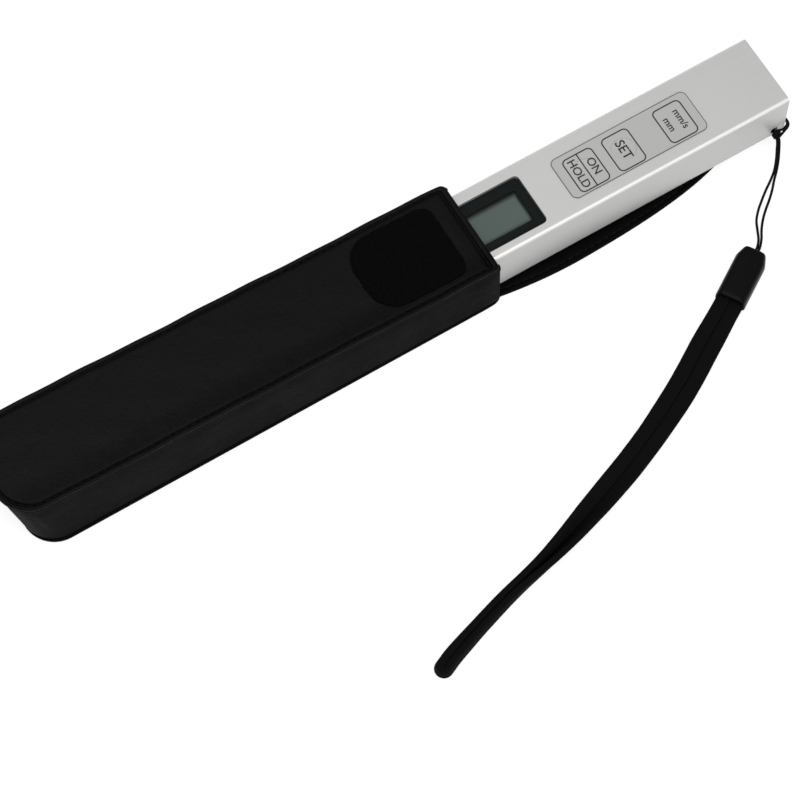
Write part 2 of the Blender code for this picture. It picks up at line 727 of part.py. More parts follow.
def make_housing(frame, metal):
    body = section_body("housing", [tube_outline(0.0, TUBE_EDGE_RADIUS), bore_outline()], -TUBE_LENGTH, 0.0, frame, metal)
    window = add_object(
        "window_cutter",
        curve_to_mesh(flat_curve("window_cutter", [window_outline(0.0)], 3 * TUBE_WALL)),
        frame,
        place=(WINDOW_CENTRE_X, FACE_LINE_Y, TUBE_HEIGHT - TUBE_WALL / 2),
    )
    cut(body, window)
    for name, distance in (("on_hole_cutter", ON_KEY_DISTANCE), ("mode_hole_cutter", MODE_KEY_DISTANCE)):
        hole = rod(
            name,
            (-distance, KEY_LINE_Y, TUBE_HEIGHT - 2 * TUBE_WALL),
            (-distance, KEY_LINE_Y, TUBE_HEIGHT + TUBE_WALL),
            KEY_RADIUS + 3 * FINE,
            frame,
            axis="Z",
        )
        cut(body, hole)
    strap_hole = rod(
        "tube_strap_hole_cutter",
        (-STRAP_HOLE_DISTANCE, -TUBE_WIDTH / 2 - TUBE_WALL, STRAP_HOLE_HEIGHT),
        (-STRAP_HOLE_DISTANCE, -TUBE_WIDTH / 2 + 2 * TUBE_WALL, STRAP_HOLE_HEIGHT),
        STRAP_HOLE_RADIUS,
        frame,
        axis="Y",
        sides=20,
    )
    return cut(body, strap_hole)


def rail_cutters(name, start, end, frame):
    """Two blocks that leave room for the tube's rails."""
    inner = INNER_HALF_WIDTH - RAIL_DEPTH - CAP_FIT
    low = RAIL_TOP - RAIL_HEIGHT - CAP_FIT
    high = RAIL_TOP + CAP_FIT
    outer = TUBE_WIDTH / 2
    return [
        box(f"{name}_near_rail_cutter", (start, -outer, low), (end, -inner, high), frame),
        box(f"{name}_far_rail_cutter", (start, inner, low), (end, outer, high), frame),
    ]


def plug_corners(start, end):
    half = INNER_HALF_WIDTH - CAP_FIT
    return (start, -half, TUBE_WALL + CAP_FIT), (end, half, INNER_TOP - CAP_FIT)


def make_end_cap(frame, plastic):
    """The plug in the strap end, with two screw seats and the strap's channel round its corner."""
    cap = box("end_cap", *plug_corners(-CAP_LENGTH, 0.0), frame, plastic)
    for cutter in rail_cutters("end_cap", -CAP_LENGTH - JOIN, JOIN, frame):
        cut(cap, cutter)
    channel_y = -TUBE_WIDTH / 2 + STRAP_HOLE_INSET
    depth = -STRAP_HOLE_DISTANCE - STRAP_HOLE_RADIUS
    end_hole = rod(
        "cap_end_hole_cutter",
        (depth, channel_y, STRAP_HOLE_HEIGHT),
        (TUBE_WALL, channel_y, STRAP_HOLE_HEIGHT),
        STRAP_HOLE_RADIUS,
        frame,
        sides=20,
    )
    side_hole = rod(
        "cap_side_hole_cutter",
        (-STRAP_HOLE_DISTANCE, -TUBE_WIDTH / 2, STRAP_HOLE_HEIGHT),
        (-STRAP_HOLE_DISTANCE, channel_y, STRAP_HOLE_HEIGHT),
        STRAP_HOLE_RADIUS * 0.98,
        frame,
        axis="Y",
        sides=20,
    )
    cut(cap, end_hole)
    cut(cap, side_hole)
    for side in (-1, 1):
        y = side * CAP_SCREW_Y
        z = TUBE_HEIGHT - CAP_SCREW_DROP
        seat = SCREW_HEAD_HEIGHT + JOIN
        cut(cap, rod(f"cap_seat_cutter_{side}", (-seat, y, z), (TUBE_WALL, y, z), SCREW_HEAD_RADIUS + CAP_FIT, frame))
        cut(
            cap,
            rod(
                f"cap_bore_cutter_{side}",
                (-CAP_LENGTH - TUBE_WALL, y, z),
                (TUBE_WALL, y, z),
                SCREW_RADIUS + CAP_FIT,
                frame,
                sides=20,
            ),
        )
    return cap


def make_cap_screw(name, side, frame, steel):
    """A pan-head screw, its axis along the tube, with a driver slot."""
    profile = [
        (0.0, 0.0),
        (SCREW_HEAD_RADIUS * 0.8, 0.0),
        (SCREW_HEAD_RADIUS, -SCREW_HEAD_HEIGHT * 0.35),
        (SCREW_HEAD_RADIUS, -SCREW_HEAD_HEIGHT),
        (SCREW_RADIUS, -SCREW_HEAD_HEIGHT),
        (SCREW_RADIUS, -SCREW_LENGTH),
        (0.0, -SCREW_LENGTH),
    ]
    place = (-FINE, side * CAP_SCREW_Y, TUBE_HEIGHT - CAP_SCREW_DROP)
    screw = turned(name, profile, place, frame, steel, axis="X", steps=20)
    slot = box(
        f"{name}_slot_cutter",
        (-SCREW_SLOT, -SCREW_HEAD_RADIUS * 2, -SCREW_SLOT / 2),
        (SCREW_SLOT, SCREW_HEAD_RADIUS * 2, SCREW_SLOT / 2),
        frame,
    )
    slot.location = Vector(slot.location) + Vector(place)
    return cut(screw, slot)


def make_nose_cap(frame, plastic):
    """The cap at the probe end: a chamfered face as wide as the tube, and a spigot inside it."""
    steps = ((NOSE_START, 0.0), (NOSE_FRONT + NOSE_CHAMFER, 0.0), (NOSE_FRONT, NOSE_CHAMFER))
    rings = [[(x, y, z) for y, z in tube_outline(inset, TUBE_EDGE_RADIUS)] for x, inset in steps]
    face = lofted("nose_cap", rings, frame, plastic)
    spigot = box("spigot_block", *plug_corners(NOSE_START - TUBE_WALL, NOSE_START + SPIGOT_LENGTH), frame)
    join(face, spigot)
    for cutter in rail_cutters("spigot", NOSE_START + JOIN, NOSE_START + SPIGOT_LENGTH + JOIN, frame):
        cut(face, cutter)
    bore = rod(
        "probe_bore_cutter",
        (NOSE_FRONT - TUBE_WALL, 0.0, CORE_HEIGHT),
        (NOSE_START + SPIGOT_LENGTH + TUBE_WALL, 0.0, CORE_HEIGHT),
        PROBE_SHANK_RADIUS + JOIN,
        frame,
    )
    return cut(face, bore)


# Display and keys

def make_display(frame, clear, black, glass, plastic, rubber):
    centre = (WINDOW_CENTRE_X, FACE_LINE_Y)
    plate("display_window", [window_outline(FINE)], WINDOW_BOTTOM, WINDOW_TOP, frame, clear, centre=centre)
    plate(
        "window_gasket",
        [window_outline(2 * FINE), window_outline(GASKET_BORDER)],
        GASKET_BOTTOM,
        GASKET_TOP,
        frame,
        black,
        centre=centre,
    )
    glass_half = (WINDOW_LENGTH / 2 - GLASS_MARGIN, WINDOW_WIDTH / 2 - GLASS_MARGIN)
    hole_half = (glass_half[0] + JOIN, glass_half[1] + JOIN)
    rim_half = (HOLDER_HALF_LENGTH, hole_half[1] + HOLDER_RIM)
    holder_bottom = BOARD_TOP + JOIN
    plate(
        "display_holder",
        [
            rounded((-rim_half[0], -rim_half[1]), rim_half, PATCH_CORNER_RADIUS / 2, count=3),
            rounded((-hole_half[0], -hole_half[1]), hole_half, FINE, count=1),
        ],
        holder_bottom,
        HOLDER_TOP,
        frame,
        plastic,
        centre=centre,
    )
    low = (centre[0] - glass_half[0], centre[1] - glass_half[1], GLASS_BOTTOM)
    high = (centre[0] + glass_half[0], centre[1] + glass_half[1], GLASS_TOP)
    box("display_glass", low, high, frame, glass)
    strip_y = glass_half[1] - STRIP_INSET - STRIP_WIDTH / 2
    for name, side in (("near_contact_strip", -1), ("far_contact_strip", 1)):
        y = centre[1] + side * strip_y
        box(
            name,
            (low[0] + STRIP_INSET, y - STRIP_WIDTH / 2, BOARD_TOP + JOIN),
            (high[0] - STRIP_INSET, y + STRIP_WIDTH / 2, GLASS_BOTTOM - SEAT),
            frame,
            rubber,
        )


def make_keypad_film(frame, film):
    centre_x = -(FILM_NEAR_END + FILM_LENGTH / 2)
    half = (FILM_LENGTH / 2, FILM_WIDTH / 2)
    holes = [
        arc((-distance - centre_x, KEY_LINE_Y - FACE_LINE_Y), KEY_RADIUS + FINE, 0, 352.5, 47)
        for distance in (ON_KEY_DISTANCE, MODE_KEY_DISTANCE)
    ]
    outline = rounded((-half[0], -half[1]), half, FILM_RADIUS, count=5)
    return plate("keypad_film", [outline, *holes], FILM_BOTTOM, FILM_TOP, frame, film, centre=(centre_x, FACE_LINE_Y))


def make_key(name, distance, frame, film):
    """A key: a low dome level with the film, and the stem that presses the switch. Origin on its axis."""
    carrier = new_frame(f"{name}_axis", (-distance, KEY_LINE_Y, TUBE_HEIGHT), frame)
    rim = FILM_TOP - TUBE_HEIGHT
    dome = [
        (KEY_RADIUS * math.sin(math.radians(a)), rim + KEY_CROWN * math.cos(math.radians(a)) ** 2)
        for a in (0, 12, 25, 38, 52, 68, 90)
    ]
    profile = [
        *dome,
        (KEY_RADIUS, -KEY_SKIRT),
        (KEY_STEM_RADIUS, -KEY_SKIRT),
        (KEY_STEM_RADIUS, SWITCH_TOP + KEY_TRAVEL + FINE - TUBE_HEIGHT),
        (0.0, SWITCH_TOP + KEY_TRAVEL + FINE - TUBE_HEIGHT),
    ]
    return turned(name, profile, (0.0, 0.0, 0.0), carrier, film, steps=48)


def make_switch(name, distance, frame, plastic):
    half = SWITCH_SIDE / 2
    bottom = BOARD_TOP + JOIN
    return box(
        name,
        (-distance - half, KEY_LINE_Y - half, bottom),
        (-distance + half, KEY_LINE_Y + half, bottom + SWITCH_HEIGHT),
        frame,
        plastic,
        edge=0.0004,
        along=2,
    )


def make_circuit_board(frame, board):
    """The board on the tube's rails, with the chip and the converter module on its underside."""
    half = INNER_HALF_WIDTH - BOARD_SIDE_GAP
    body = box("circuit_board", (BOARD_FAR_END, -half, BOARD_BOTTOM), (BOARD_NEAR_END, half, BOARD_TOP), frame, board)
    middle = (BOARD_FAR_END + BOARD_NEAR_END) / 2
    overlap = BOARD_BOTTOM + BOARD_THICKNESS / 2
    chip = box(
        "chip_block",
        (middle - CHIP_SIDE / 2, -CHIP_SIDE / 2, BOARD_BOTTOM - CHIP_HEIGHT),
        (middle + CHIP_SIDE / 2, CHIP_SIDE / 2, overlap),
        frame,
    )
    module = box(
        "module_block",
        (middle + CHIP_SIDE, -MODULE_WIDTH / 2, BOARD_BOTTOM - CHIP_HEIGHT * 1.5),
        (middle + CHIP_SIDE + MODULE_LENGTH, MODULE_WIDTH / 2, overlap),
        frame,
    )
    amplifier = box(
        "amplifier_block",
        (BOARD_FAR_END + CHIP_SIDE / 2, -CHIP_SIDE / 4, BOARD_BOTTOM - CHIP_HEIGHT),
        (BOARD_FAR_END + CHIP_SIDE, CHIP_SIDE / 4, overlap),
        frame,
    )
    for part in (chip, module, amplifier):
        join(body, part)
    return body


# Battery

def make_battery_holder(frame, plastic):
    """A block behind the end cap, bored for the cells, with a slot above them and two screw holes."""
    start = -CAP_LENGTH - JOIN
    low = (BATTERY_HOLDER_END, -BATTERY_SIDE, TUBE_WALL + JOIN)
    high = (start, BATTERY_SIDE, INNER_TOP - JOIN)
    holder = box("battery_holder", low, high, frame, plastic)
    bore = rod(
        "cell_bore_cutter",
        (BATTERY_BORE_END, 0.0, CORE_HEIGHT),
        (start + TUBE_WALL, 0.0, CORE_HEIGHT),
        CELL_RADIUS + JOIN,
        frame,
        sides=40,
    )
    slot = box(
        "cell_slot_cutter",
        (BATTERY_BORE_END, -CELL_RADIUS / 2, CORE_HEIGHT),
        (start + TUBE_WALL, CELL_RADIUS / 2, TUBE_HEIGHT),
        frame,
    )
    cut(holder, bore)
    cut(holder, slot)
    for side in (-1, 1):
        y = side * CAP_SCREW_Y
        z = TUBE_HEIGHT - CAP_SCREW_DROP
        cut(
            holder,
            rod(
                f"holder_bore_cutter_{side}",
                (-SCREW_LENGTH - 3 * JOIN, y, z),
                (start + TUBE_WALL, y, z),
                SCREW_RADIUS + FINE,
                frame,
                sides=20,
            ),
        )
    return holder


def make_cells(frame, metal):
    for index in range(CELL_COUNT):
        end = FIRST_CELL_END - index * CELL_PITCH
        profile = [
            (0.0, 0.0),
            (CELL_RADIUS - FINE * 3, 0.0),
            (CELL_RADIUS, -FINE * 3),
            (CELL_RADIUS, CELL_LIP_HEIGHT - CELL_LENGTH),
            (CELL_LIP_RADIUS, CELL_LIP_HEIGHT - CELL_LENGTH),
            (CELL_LIP_RADIUS, -CELL_LENGTH),
            (0.0, -CELL_LENGTH),
        ]
        turned(f"button_cell_{index + 1}", profile, (end, 0.0, CORE_HEIGHT), frame, metal, axis="X", steps=36)


def make_battery_contacts(frame, steel):
    rod(
        "battery_contact",
        (CONTACT_END - CONTACT_THICKNESS, 0.0, CORE_HEIGHT),
        (CONTACT_END, 0.0, CORE_HEIGHT),
        CELL_RADIUS * 0.8,
        frame,
        steel,
        sides=28,
    )
    points = []
    count = int(SPRING_TURNS * 12)
    for i in range(count + 1):
        share = i / count
        radius = SPRING_WIDE_RADIUS + (SPRING_NARROW_RADIUS - SPRING_WIDE_RADIUS) * share
        angle = 2 * math.pi * SPRING_TURNS * share
        length = SPRING_LENGTH - 2 * (SPRING_WIRE_RADIUS + FINE)
        x = BATTERY_BORE_END + JOIN + SPRING_WIRE_RADIUS + FINE + length * share
        points.append((x, radius * math.cos(angle), CORE_HEIGHT + radius * math.sin(angle)))
    tube("battery_spring", points, SPRING_WIRE_RADIUS, frame, steel, resolution=1)


# Probe and sensor

def make_probe(frame, steel, brass, ceramic):
    centre = (0.0, 0.0, CORE_HEIGHT)
    collar_back = NOSE_FRONT - JOIN
    collar_front = collar_back - PROBE_COLLAR_LENGTH
    tip_start = collar_front - PROBE_CONE_LENGTH + PROBE_TIP_RADIUS
    tip = [
        (PROBE_TIP_RADIUS * math.cos(math.radians(a)), tip_start - PROBE_TIP_RADIUS * math.sin(math.radians(a)))
        for a in (0, 30, 60, 90)
    ]
    tip[-1] = (0.0, tip[-1][1])
    profile = [
        (0.0, BASE_FRONT - JOIN),
        (PROBE_SHANK_RADIUS, BASE_FRONT - JOIN),
        (PROBE_SHANK_RADIUS, collar_back),
        (PROBE_COLLAR_RADIUS - 2 * FINE, collar_back),
        (PROBE_COLLAR_RADIUS, collar_back - 2 * FINE),
        (PROBE_COLLAR_RADIUS, collar_front + 2 * FINE),
        (PROBE_COLLAR_RADIUS - 2 * FINE, collar_front),
        (PROBE_CONE_RADIUS, collar_front),
        *tip,
    ]
    turned("probe_tip", profile, centre, frame, steel, axis="X", steps=36)
    nut = rod(
        "probe_lock_nut",
        (NUT_FRONT, 0.0, CORE_HEIGHT),
        (NUT_BACK, 0.0, CORE_HEIGHT),
        NUT_FLATS_RADIUS,
        frame,
        steel,
        sides=6,
    )
    cut(
        nut,
        rod(
            "nut_bore_cutter",
            (NUT_FRONT - TUBE_WALL, 0.0, CORE_HEIGHT),
            (NUT_BACK + TUBE_WALL, 0.0, CORE_HEIGHT),
            PROBE_SHANK_RADIUS + FINE,
            frame,
        ),
    )
    hole = PRELOAD_RADIUS + JOIN
    grip_end = BASE_BACK - PRELOAD_GRIP - FINE
    base = [
        (hole, BASE_BACK),
        (SENSOR_BASE_RADIUS, BASE_BACK),
        (SENSOR_BASE_RADIUS, BASE_FRONT),
        (0.0, BASE_FRONT),
    ]
    turned("sensor_base", [(0.0, grip_end), (hole, grip_end), *base], centre, frame, steel, axis="X", steps=36)
    discs = (
        ("piezo_disc_1", FIRST_PIEZO, PIEZO_THICKNESS, PIEZO_RADIUS, ceramic),
        ("electrode_plate", ELECTRODE_START, ELECTRODE_THICKNESS, PIEZO_RADIUS, brass),
        ("piezo_disc_2", SECOND_PIEZO, PIEZO_THICKNESS, PIEZO_RADIUS, ceramic),
        ("seismic_mass", MASS_START, MASS_LENGTH, MASS_RADIUS, brass),
    )
    for name, start, length, radius, material in discs:
        profile = [(hole, start + length), (radius, start + length), (radius, start), (hole, start)]
        ringed(name, profile, centre, frame, material)
    head_end = PRELOAD_HEAD_START + PRELOAD_HEAD_LENGTH
    screw = [
        (0.0, head_end),
        (PRELOAD_HEAD_RADIUS, head_end),
        (PRELOAD_HEAD_RADIUS, PRELOAD_HEAD_START),
        (PRELOAD_RADIUS, PRELOAD_HEAD_START),
        (PRELOAD_RADIUS, BASE_BACK - PRELOAD_GRIP),
        (0.0, BASE_BACK - PRELOAD_GRIP),
    ]
    turned("preload_screw", screw, centre, frame, steel, axis="X", steps=20)


# The wrist strap

def make_thin_cords(frame, cord):
    tube("strap_loop", smooth_route(LOOP_ROUTE, 26), LOOP_CORD_RADIUS, frame, cord)
    bm = bmesh.new()
    bmesh.ops.create_uvsphere(bm, u_segments=14, v_segments=8, radius=1.0, matrix=Matrix.Diagonal((*KNOT_RADII, 1.0)))
    add_object("strap_knot", mesh_from("strap_knot", bm), frame, cord, KNOT_CENTRE)
    tube("left_cord", smooth_route(LEFT_LEG_ROUTE, 26), LEG_RADIUS, frame, cord)
    tube("right_cord", smooth_route(RIGHT_LEG_ROUTE, 26), LEG_RADIUS, frame, cord)


def make_clasp(frame, plastic):
    """A moulded block with sloping shoulders where the cord goes in. Its origin is at its mouth."""
    half = CLASP_HALF_WIDTH
    outline = [
        (0.0, -half),
        (CLASP_LENGTH - CLASP_SHOULDER, -half),
        (CLASP_LENGTH, -CLASP_NOSE_HALF_WIDTH),
        (CLASP_LENGTH, CLASP_NOSE_HALF_WIDTH),
        (CLASP_LENGTH - CLASP_SHOULDER, half),
        (0.0, half),
    ]
    bottom = CLASP_LIFT - METER_Z
    clasp = plate(
        "strap_clasp", [outline], bottom, bottom + CLASP_THICKNESS, frame, plastic, edge=CLASP_EDGE, centre=CLASP_MOUTH
    )
    clasp.modifiers["edge"].angle_limit = math.radians(25)
    clasp.rotation_euler = (0.0, 0.0, math.radians(CLASP_HEADING))
    return clasp


def smooth_step(value):
    value = min(1.0, max(0.0, value))
    return value * value * (3 - 2 * value)


def strap_stations():
    """Where the webbing runs: out along its near run, round the fold, back along its far run.

    Each station is a place, the way that the webbing's width points, and the way that its thickness points.
    """
    middle = smooth_route(STRAP_ROUTE, STRAP_STATIONS)
    way = np.gradient(middle, axis=0)
    way /= np.linalg.norm(way, axis=1)[:, None]
    fold_share = 1 - FOLD_RADIUS / (np.linalg.norm(np.diff(middle, axis=0), axis=1).sum())
    runs = []
    for side in (1, -1):
        run = []
        for i, (place, heading) in enumerate(zip(middle, way)):
            share = i / (STRAP_STATIONS - 1) * fold_share
            turn = math.radians(90) * smooth_step(
                (share - STRAP_TWIST_START) / (STRAP_TWIST_END - STRAP_TWIST_START)
            )
            reach = math.hypot(WEB_HALF_WIDTH * math.cos(turn), WEB_HALF_THICKNESS * math.sin(turn))
            height = math.hypot(WEB_HALF_WIDTH * math.sin(turn), WEB_HALF_THICKNESS * math.cos(turn))
            spread = smooth_step((share - STRAP_TWIST_END) / (fold_share - STRAP_TWIST_END))
            offset = (reach + WEB_GAP) * (1 - spread) + FOLD_RADIUS * spread
            across = np.array((-heading[1], heading[0], 0.0)) * side
            centre = np.array((*place, height + WEB_LIFT - METER_Z)) + across * offset
            width_way = across * math.cos(turn) + np.array((0.0, 0.0, 1.0)) * math.sin(turn)
            travel = np.array((*heading, 0.0)) * side
            run.append((centre, width_way, np.cross(travel, width_way)))
        runs.append(run)
    heading = np.array((*way[-1], 0.0))
    across = np.array((-heading[1], heading[0], 0.0))
    up = np.array((0.0, 0.0, 1.0))
    centre = np.array((*middle[-1], WEB_HALF_WIDTH + WEB_LIFT - METER_Z))
    fold = []
    for i in range(1, FOLD_STATIONS):
        angle = math.pi * i / FOLD_STATIONS
        out = across * math.cos(angle) + heading * math.sin(angle)
        travel = heading * math.cos(angle) - across * math.sin(angle)
        fold.append((centre + out * FOLD_RADIUS, up, np.cross(travel, up)))
    return [*runs[0], *fold, *reversed(runs[1])]


def make_wrist_strap(frame, webbing):
    """Flat webbing folded double: side by side and flat at the clasp, turned on edge towards its fold."""
    rings = []
    for centre, width_way, thick_way in strap_stations():
        ring = []
        for i in range(10):
            angle = 2 * math.pi * i / 10
            ring.append(
                centre
                + width_way * (WEB_HALF_WIDTH * math.cos(angle))
                + thick_way * (WEB_HALF_THICKNESS * math.sin(angle))
            )
        rings.append(ring)
    return lofted("wrist_strap", rings, frame, webbing)


def main():
    leather = new_material("black_leatherette", (0.010, 0.010, 0.011), 0.5)
    loop_fabric = new_material("loop_fabric", (0.004, 0.004, 0.004), 0.95)
    hook_plastic = new_material("hook_plastic", (0.012, 0.012, 0.012), 0.7)
    aluminium = new_material("satin_aluminium", (0.62, 0.62, 0.61), 0.35, metallic=1.0)
    black_plastic = new_material("black_plastic", (0.015, 0.015, 0.016), 0.45)
    clear_plastic = new_material("clear_plastic", (0.9, 0.92, 0.92), 0.05, alpha=0.2)
    display_glass = new_material("display_glass", (0.09, 0.115, 0.105), 0.15)
    rubber = new_material("strip_rubber", (0.35, 0.35, 0.36), 0.8)
    film = new_material("keypad_film", (0.45, 0.45, 0.45), 0.35)
    steel = new_material("steel", (0.56, 0.56, 0.56), 0.3, metallic=1.0)
    brass = new_material("brass", (0.70, 0.52, 0.22), 0.35, metallic=1.0)
    ceramic = new_material("piezo_ceramic", (0.55, 0.53, 0.48), 0.6)
    board = new_material("board_laminate", (0.02, 0.16, 0.06), 0.5)
    cord = new_material("black_cord", (0.010, 0.010, 0.010), 0.8)
    webbing = new_material("black_webbing", (0.012, 0.012, 0.013), 0.9)

    sheath = new_frame("sheath_frame")
    make_back_panel(sheath, leather)
    make_side_band(sheath, leather)
    make_front_panel(sheath, leather)
    make_loop_patch(sheath, loop_fabric)
    make_hook_patch(sheath, hook_plastic)

    meter = new_frame("meter_frame", (METER_END_X, 0.0, METER_Z), sheath)
    make_housing(meter, aluminium)
    make_end_cap(meter, black_plastic)
    make_cap_screw("near_cap_screw", -1, meter, steel)
    make_cap_screw("far_cap_screw", 1, meter, steel)
    make_nose_cap(meter, black_plastic)
    make_display(meter, clear_plastic, black_plastic, display_glass, black_plastic, rubber)
    make_keypad_film(meter, film)
    make_key("on_key", ON_KEY_DISTANCE, meter, film)
    make_key("mode_key", MODE_KEY_DISTANCE, meter, film)
    make_switch("on_switch", ON_KEY_DISTANCE, meter, black_plastic)
    make_switch("mode_switch", MODE_KEY_DISTANCE, meter, black_plastic)
    make_circuit_board(meter, board)
    make_battery_holder(meter, black_plastic)
    make_cells(meter, steel)
    make_battery_contacts(meter, steel)
    make_probe(meter, steel, brass, ceramic)
    make_thin_cords(meter, cord)
    make_clasp(meter, black_plastic)
    make_wrist_strap(meter, webbing)


for old in list(bpy.data.objects):
    bpy.data.objects.remove(old, do_unlink=True)
PARTS = new_collection("vibration_meter")
CUTTERS = new_collection("cutters")
main()
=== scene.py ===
import math

import bmesh
import bpy
import numpy as np
from bpy.props import FloatProperty, FloatVectorProperty, IntProperty, PointerProperty
from mathutils import Matrix, Vector


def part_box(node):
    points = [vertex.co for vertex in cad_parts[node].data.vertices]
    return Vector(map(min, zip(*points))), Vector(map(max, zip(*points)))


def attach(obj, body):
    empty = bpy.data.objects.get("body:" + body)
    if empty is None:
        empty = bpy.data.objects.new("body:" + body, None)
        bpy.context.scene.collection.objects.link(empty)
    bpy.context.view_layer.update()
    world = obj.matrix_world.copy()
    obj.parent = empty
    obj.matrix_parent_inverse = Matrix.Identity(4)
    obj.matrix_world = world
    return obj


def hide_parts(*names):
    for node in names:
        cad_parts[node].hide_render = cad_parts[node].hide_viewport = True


bl_info = {
    "name": "Pen vibration meter",
    "version": (1, 0, 0),
    "blender": (4, 5, 0),
    "location": "View3D > Sidebar > Vibration meter",
    "description": "Surfaces and finishes of a pen vibration meter, its sheath and its wrist strap",
    "category": "Object",
}

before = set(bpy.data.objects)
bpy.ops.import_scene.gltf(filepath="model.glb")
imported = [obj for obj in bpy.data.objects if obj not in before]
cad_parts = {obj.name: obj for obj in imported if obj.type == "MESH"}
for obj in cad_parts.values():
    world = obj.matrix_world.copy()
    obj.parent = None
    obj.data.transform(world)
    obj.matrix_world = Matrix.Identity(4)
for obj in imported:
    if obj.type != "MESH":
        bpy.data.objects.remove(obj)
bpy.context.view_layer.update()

# Places and sizes of the surfaces, in metres; most are those of the solids
MM = 0.001
METER = np.array((117.65, 0.0, 2.5)) * MM
MOUTH_X = 25.35 * MM
BAND_START_X = MOUTH_X + 0.5 * MM
SHEATH_END_X = -117.65 * MM
SHEATH_LENGTH = MOUTH_X - SHEATH_END_X
SHEATH_HALF = 14.35 * MM
BAND_HALF = 13.62 * MM
BAND_WALL = 1.2 * MM
END_RISE = 6.7 * MM
END_LEAN = 5.2 * MM
CORNER = 10.0 * MM
FOOT_CORNER = 8.8 * MM
BACK_TOP = 1.4 * MM
BACK_FIELD = 1.38 * MM
FRONT_UNDERSIDE = 19.95 * MM
FRONT_FIELD = 0.93 * MM
FLAP_LENGTH = 84.0 * MM
FLAP_HALF = 15.15 * MM
FLAP_NECK = 13.2 * MM
FLAP_FULL_AT = 0.3
FLAP_POWER = 3.25
PATCH_ROUND = 8.0 * MM
FILM_TOP = 19.65 * MM
KEY_Y = -1.0 * MM
ON_KEY_X = float(sum(corner.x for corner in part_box("on_key")) / 2)
MODE_KEY_X = float(sum(corner.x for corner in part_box("mode_key")) / 2)
KEY_RADIUS = 3.4 * MM

# The thin cord's two legs, from the knot to the clasp, and the webbing, in the meter's frame, in millimetres
LEFT_LEG = (
    (-4.50, -14.35, 2.4), (-5.25, -15.50, 1.4), (-6.65, -17.50, 0.0), (-8.40, -19.45, -1.3),
    (-10.55, -21.10, -2.0), (-13.30, -22.95, -2.15), (-15.95, -24.95, -2.15), (-18.45, -27.00, -2.15),
    (-20.55, -29.30, -2.15), (-22.00, -31.90, -1.9), (-23.40, -34.40, -1.3), (-25.00, -36.30, -0.5),
    (-26.50, -37.45, -0.1), (-27.43, -37.79, 0.15),
)
RIGHT_LEG = (
    (-3.80, -14.35, 2.4), (-4.55, -15.60, 1.4), (-6.05, -17.75, 0.0), (-7.80, -19.75, -1.3),
    (-9.80, -21.65, -2.0), (-11.90, -23.85, -2.15), (-14.30, -26.00, -2.15), (-16.80, -28.00, -2.15),
    (-19.05, -30.10, -2.15), (-21.00, -32.40, -1.9), (-22.70, -34.80, -1.3), (-24.50, -36.80, -0.5),
    (-26.10, -38.05, -0.1), (-27.06, -38.36, 0.15),
)
CORNER_RUN = (
    (-3.60, -11.40, 3.10), (-3.40, -10.30, 3.20), (-3.10, -9.10, 3.20), (-2.10, -8.20, 3.20),
    (-0.60, -8.00, 3.20), (0.65, -8.25, 3.20), (1.10, -9.20, 3.15), (1.20, -10.30, 3.10),
    (1.00, -11.10, 3.05), (0.30, -11.75, 3.00),
)
STRAP_RUN = (
    (-41.05, -46.80), (-52.43, -53.27), (-65.76, -61.20), (-82.95, -69.52), (-102.28, -77.10),
    (-118.34, -82.63), (-135.89, -86.79), (-152.34, -92.03), (-158.15, -94.42),
)
CLASP_MOUTH = np.array((-40.70, -46.55)) * MM + METER[:2]
CLASP_HEADING = math.radians(32.2)
CLASP_DRAFT = 0.14
CORD_RADIUS = 0.35 * MM
WEB_HALF_WIDTH = 1.95 * MM
WEB_HALF_THICKNESS = 0.89 * MM
WEB_POWER = 3.2
WEB_TILT = math.radians(102)
FOLD_RADIUS = 1.20 * MM


# Values that a user may change

def color_value(name, text, value):
    return FloatVectorProperty(
        name=name, description=text, subtype="COLOR", size=3, min=0, max=1, default=value)


def share_value(name, text, value):
    return FloatProperty(name=name, description=text, subtype="FACTOR", min=0, max=1, default=value)


def length_value(name, text, value, least=0.0):
    return FloatProperty(name=name, description=text, unit="LENGTH", min=least, default=value)


class LeatherSettings(bpy.types.PropertyGroup):
    color: color_value("Colour", "Colour of the leatherette", (0.0070, 0.0070, 0.0074))
    grain: length_value("Grain", "Distance between the grain's pebbles", 0.00055, 0.0001)
    relief: length_value("Relief", "Depth of the grain", 0.00016)
    roughness: share_value("Roughness", "Roughness of the leatherette", 0.42)
    stitch: length_value("Stitch", "Distance from one stitch to the next", 0.0023, 0.001)


class MetalSettings(bpy.types.PropertyGroup):
    color: color_value("Colour", "Colour of the anodised tube", (0.535, 0.535, 0.525))
    roughness: share_value("Roughness", "Roughness of the tube", 0.38)
    metallic: share_value("Metallic", "How metallic the tube looks", 0.24)


class FaceSettings(bpy.types.PropertyGroup):
    film: color_value("Film", "Colour of the keypad film", (0.42, 0.42, 0.41))
    ink: color_value("Ink", "Colour of the print", (0.02, 0.02, 0.02))
    line: length_value("Line", "Width of the printed lines", 0.00034, 0.00005)
    letter: length_value("Letters", "Height of the printed capitals", 0.0023, 0.0005)
    display: color_value("Display", "Colour of the liquid-crystal cell", (0.178, 0.225, 0.208))


class StrapSettings(bpy.types.PropertyGroup):
    cord: color_value("Cord", "Colour of the thin cord", (0.006, 0.006, 0.006))
    webbing: color_value("Webbing", "Colour of the woven strap", (0.0030, 0.0030, 0.0032))
    stations: IntProperty(
        name="Stations", description="Sections along each run of the webbing", min=40, default=150)


class StageSettings(bpy.types.PropertyGroup):
    floor: color_value("Floor", "Colour of the floor", (0.66, 0.66, 0.66))
    sky: FloatProperty(name="Sky", description="Strength of the light from all sides", min=0, default=0.38)
    lamp: FloatProperty(
        name="Lamp", description="Power of the large soft lamps", unit="POWER", min=0, default=6.0)


# Finishes

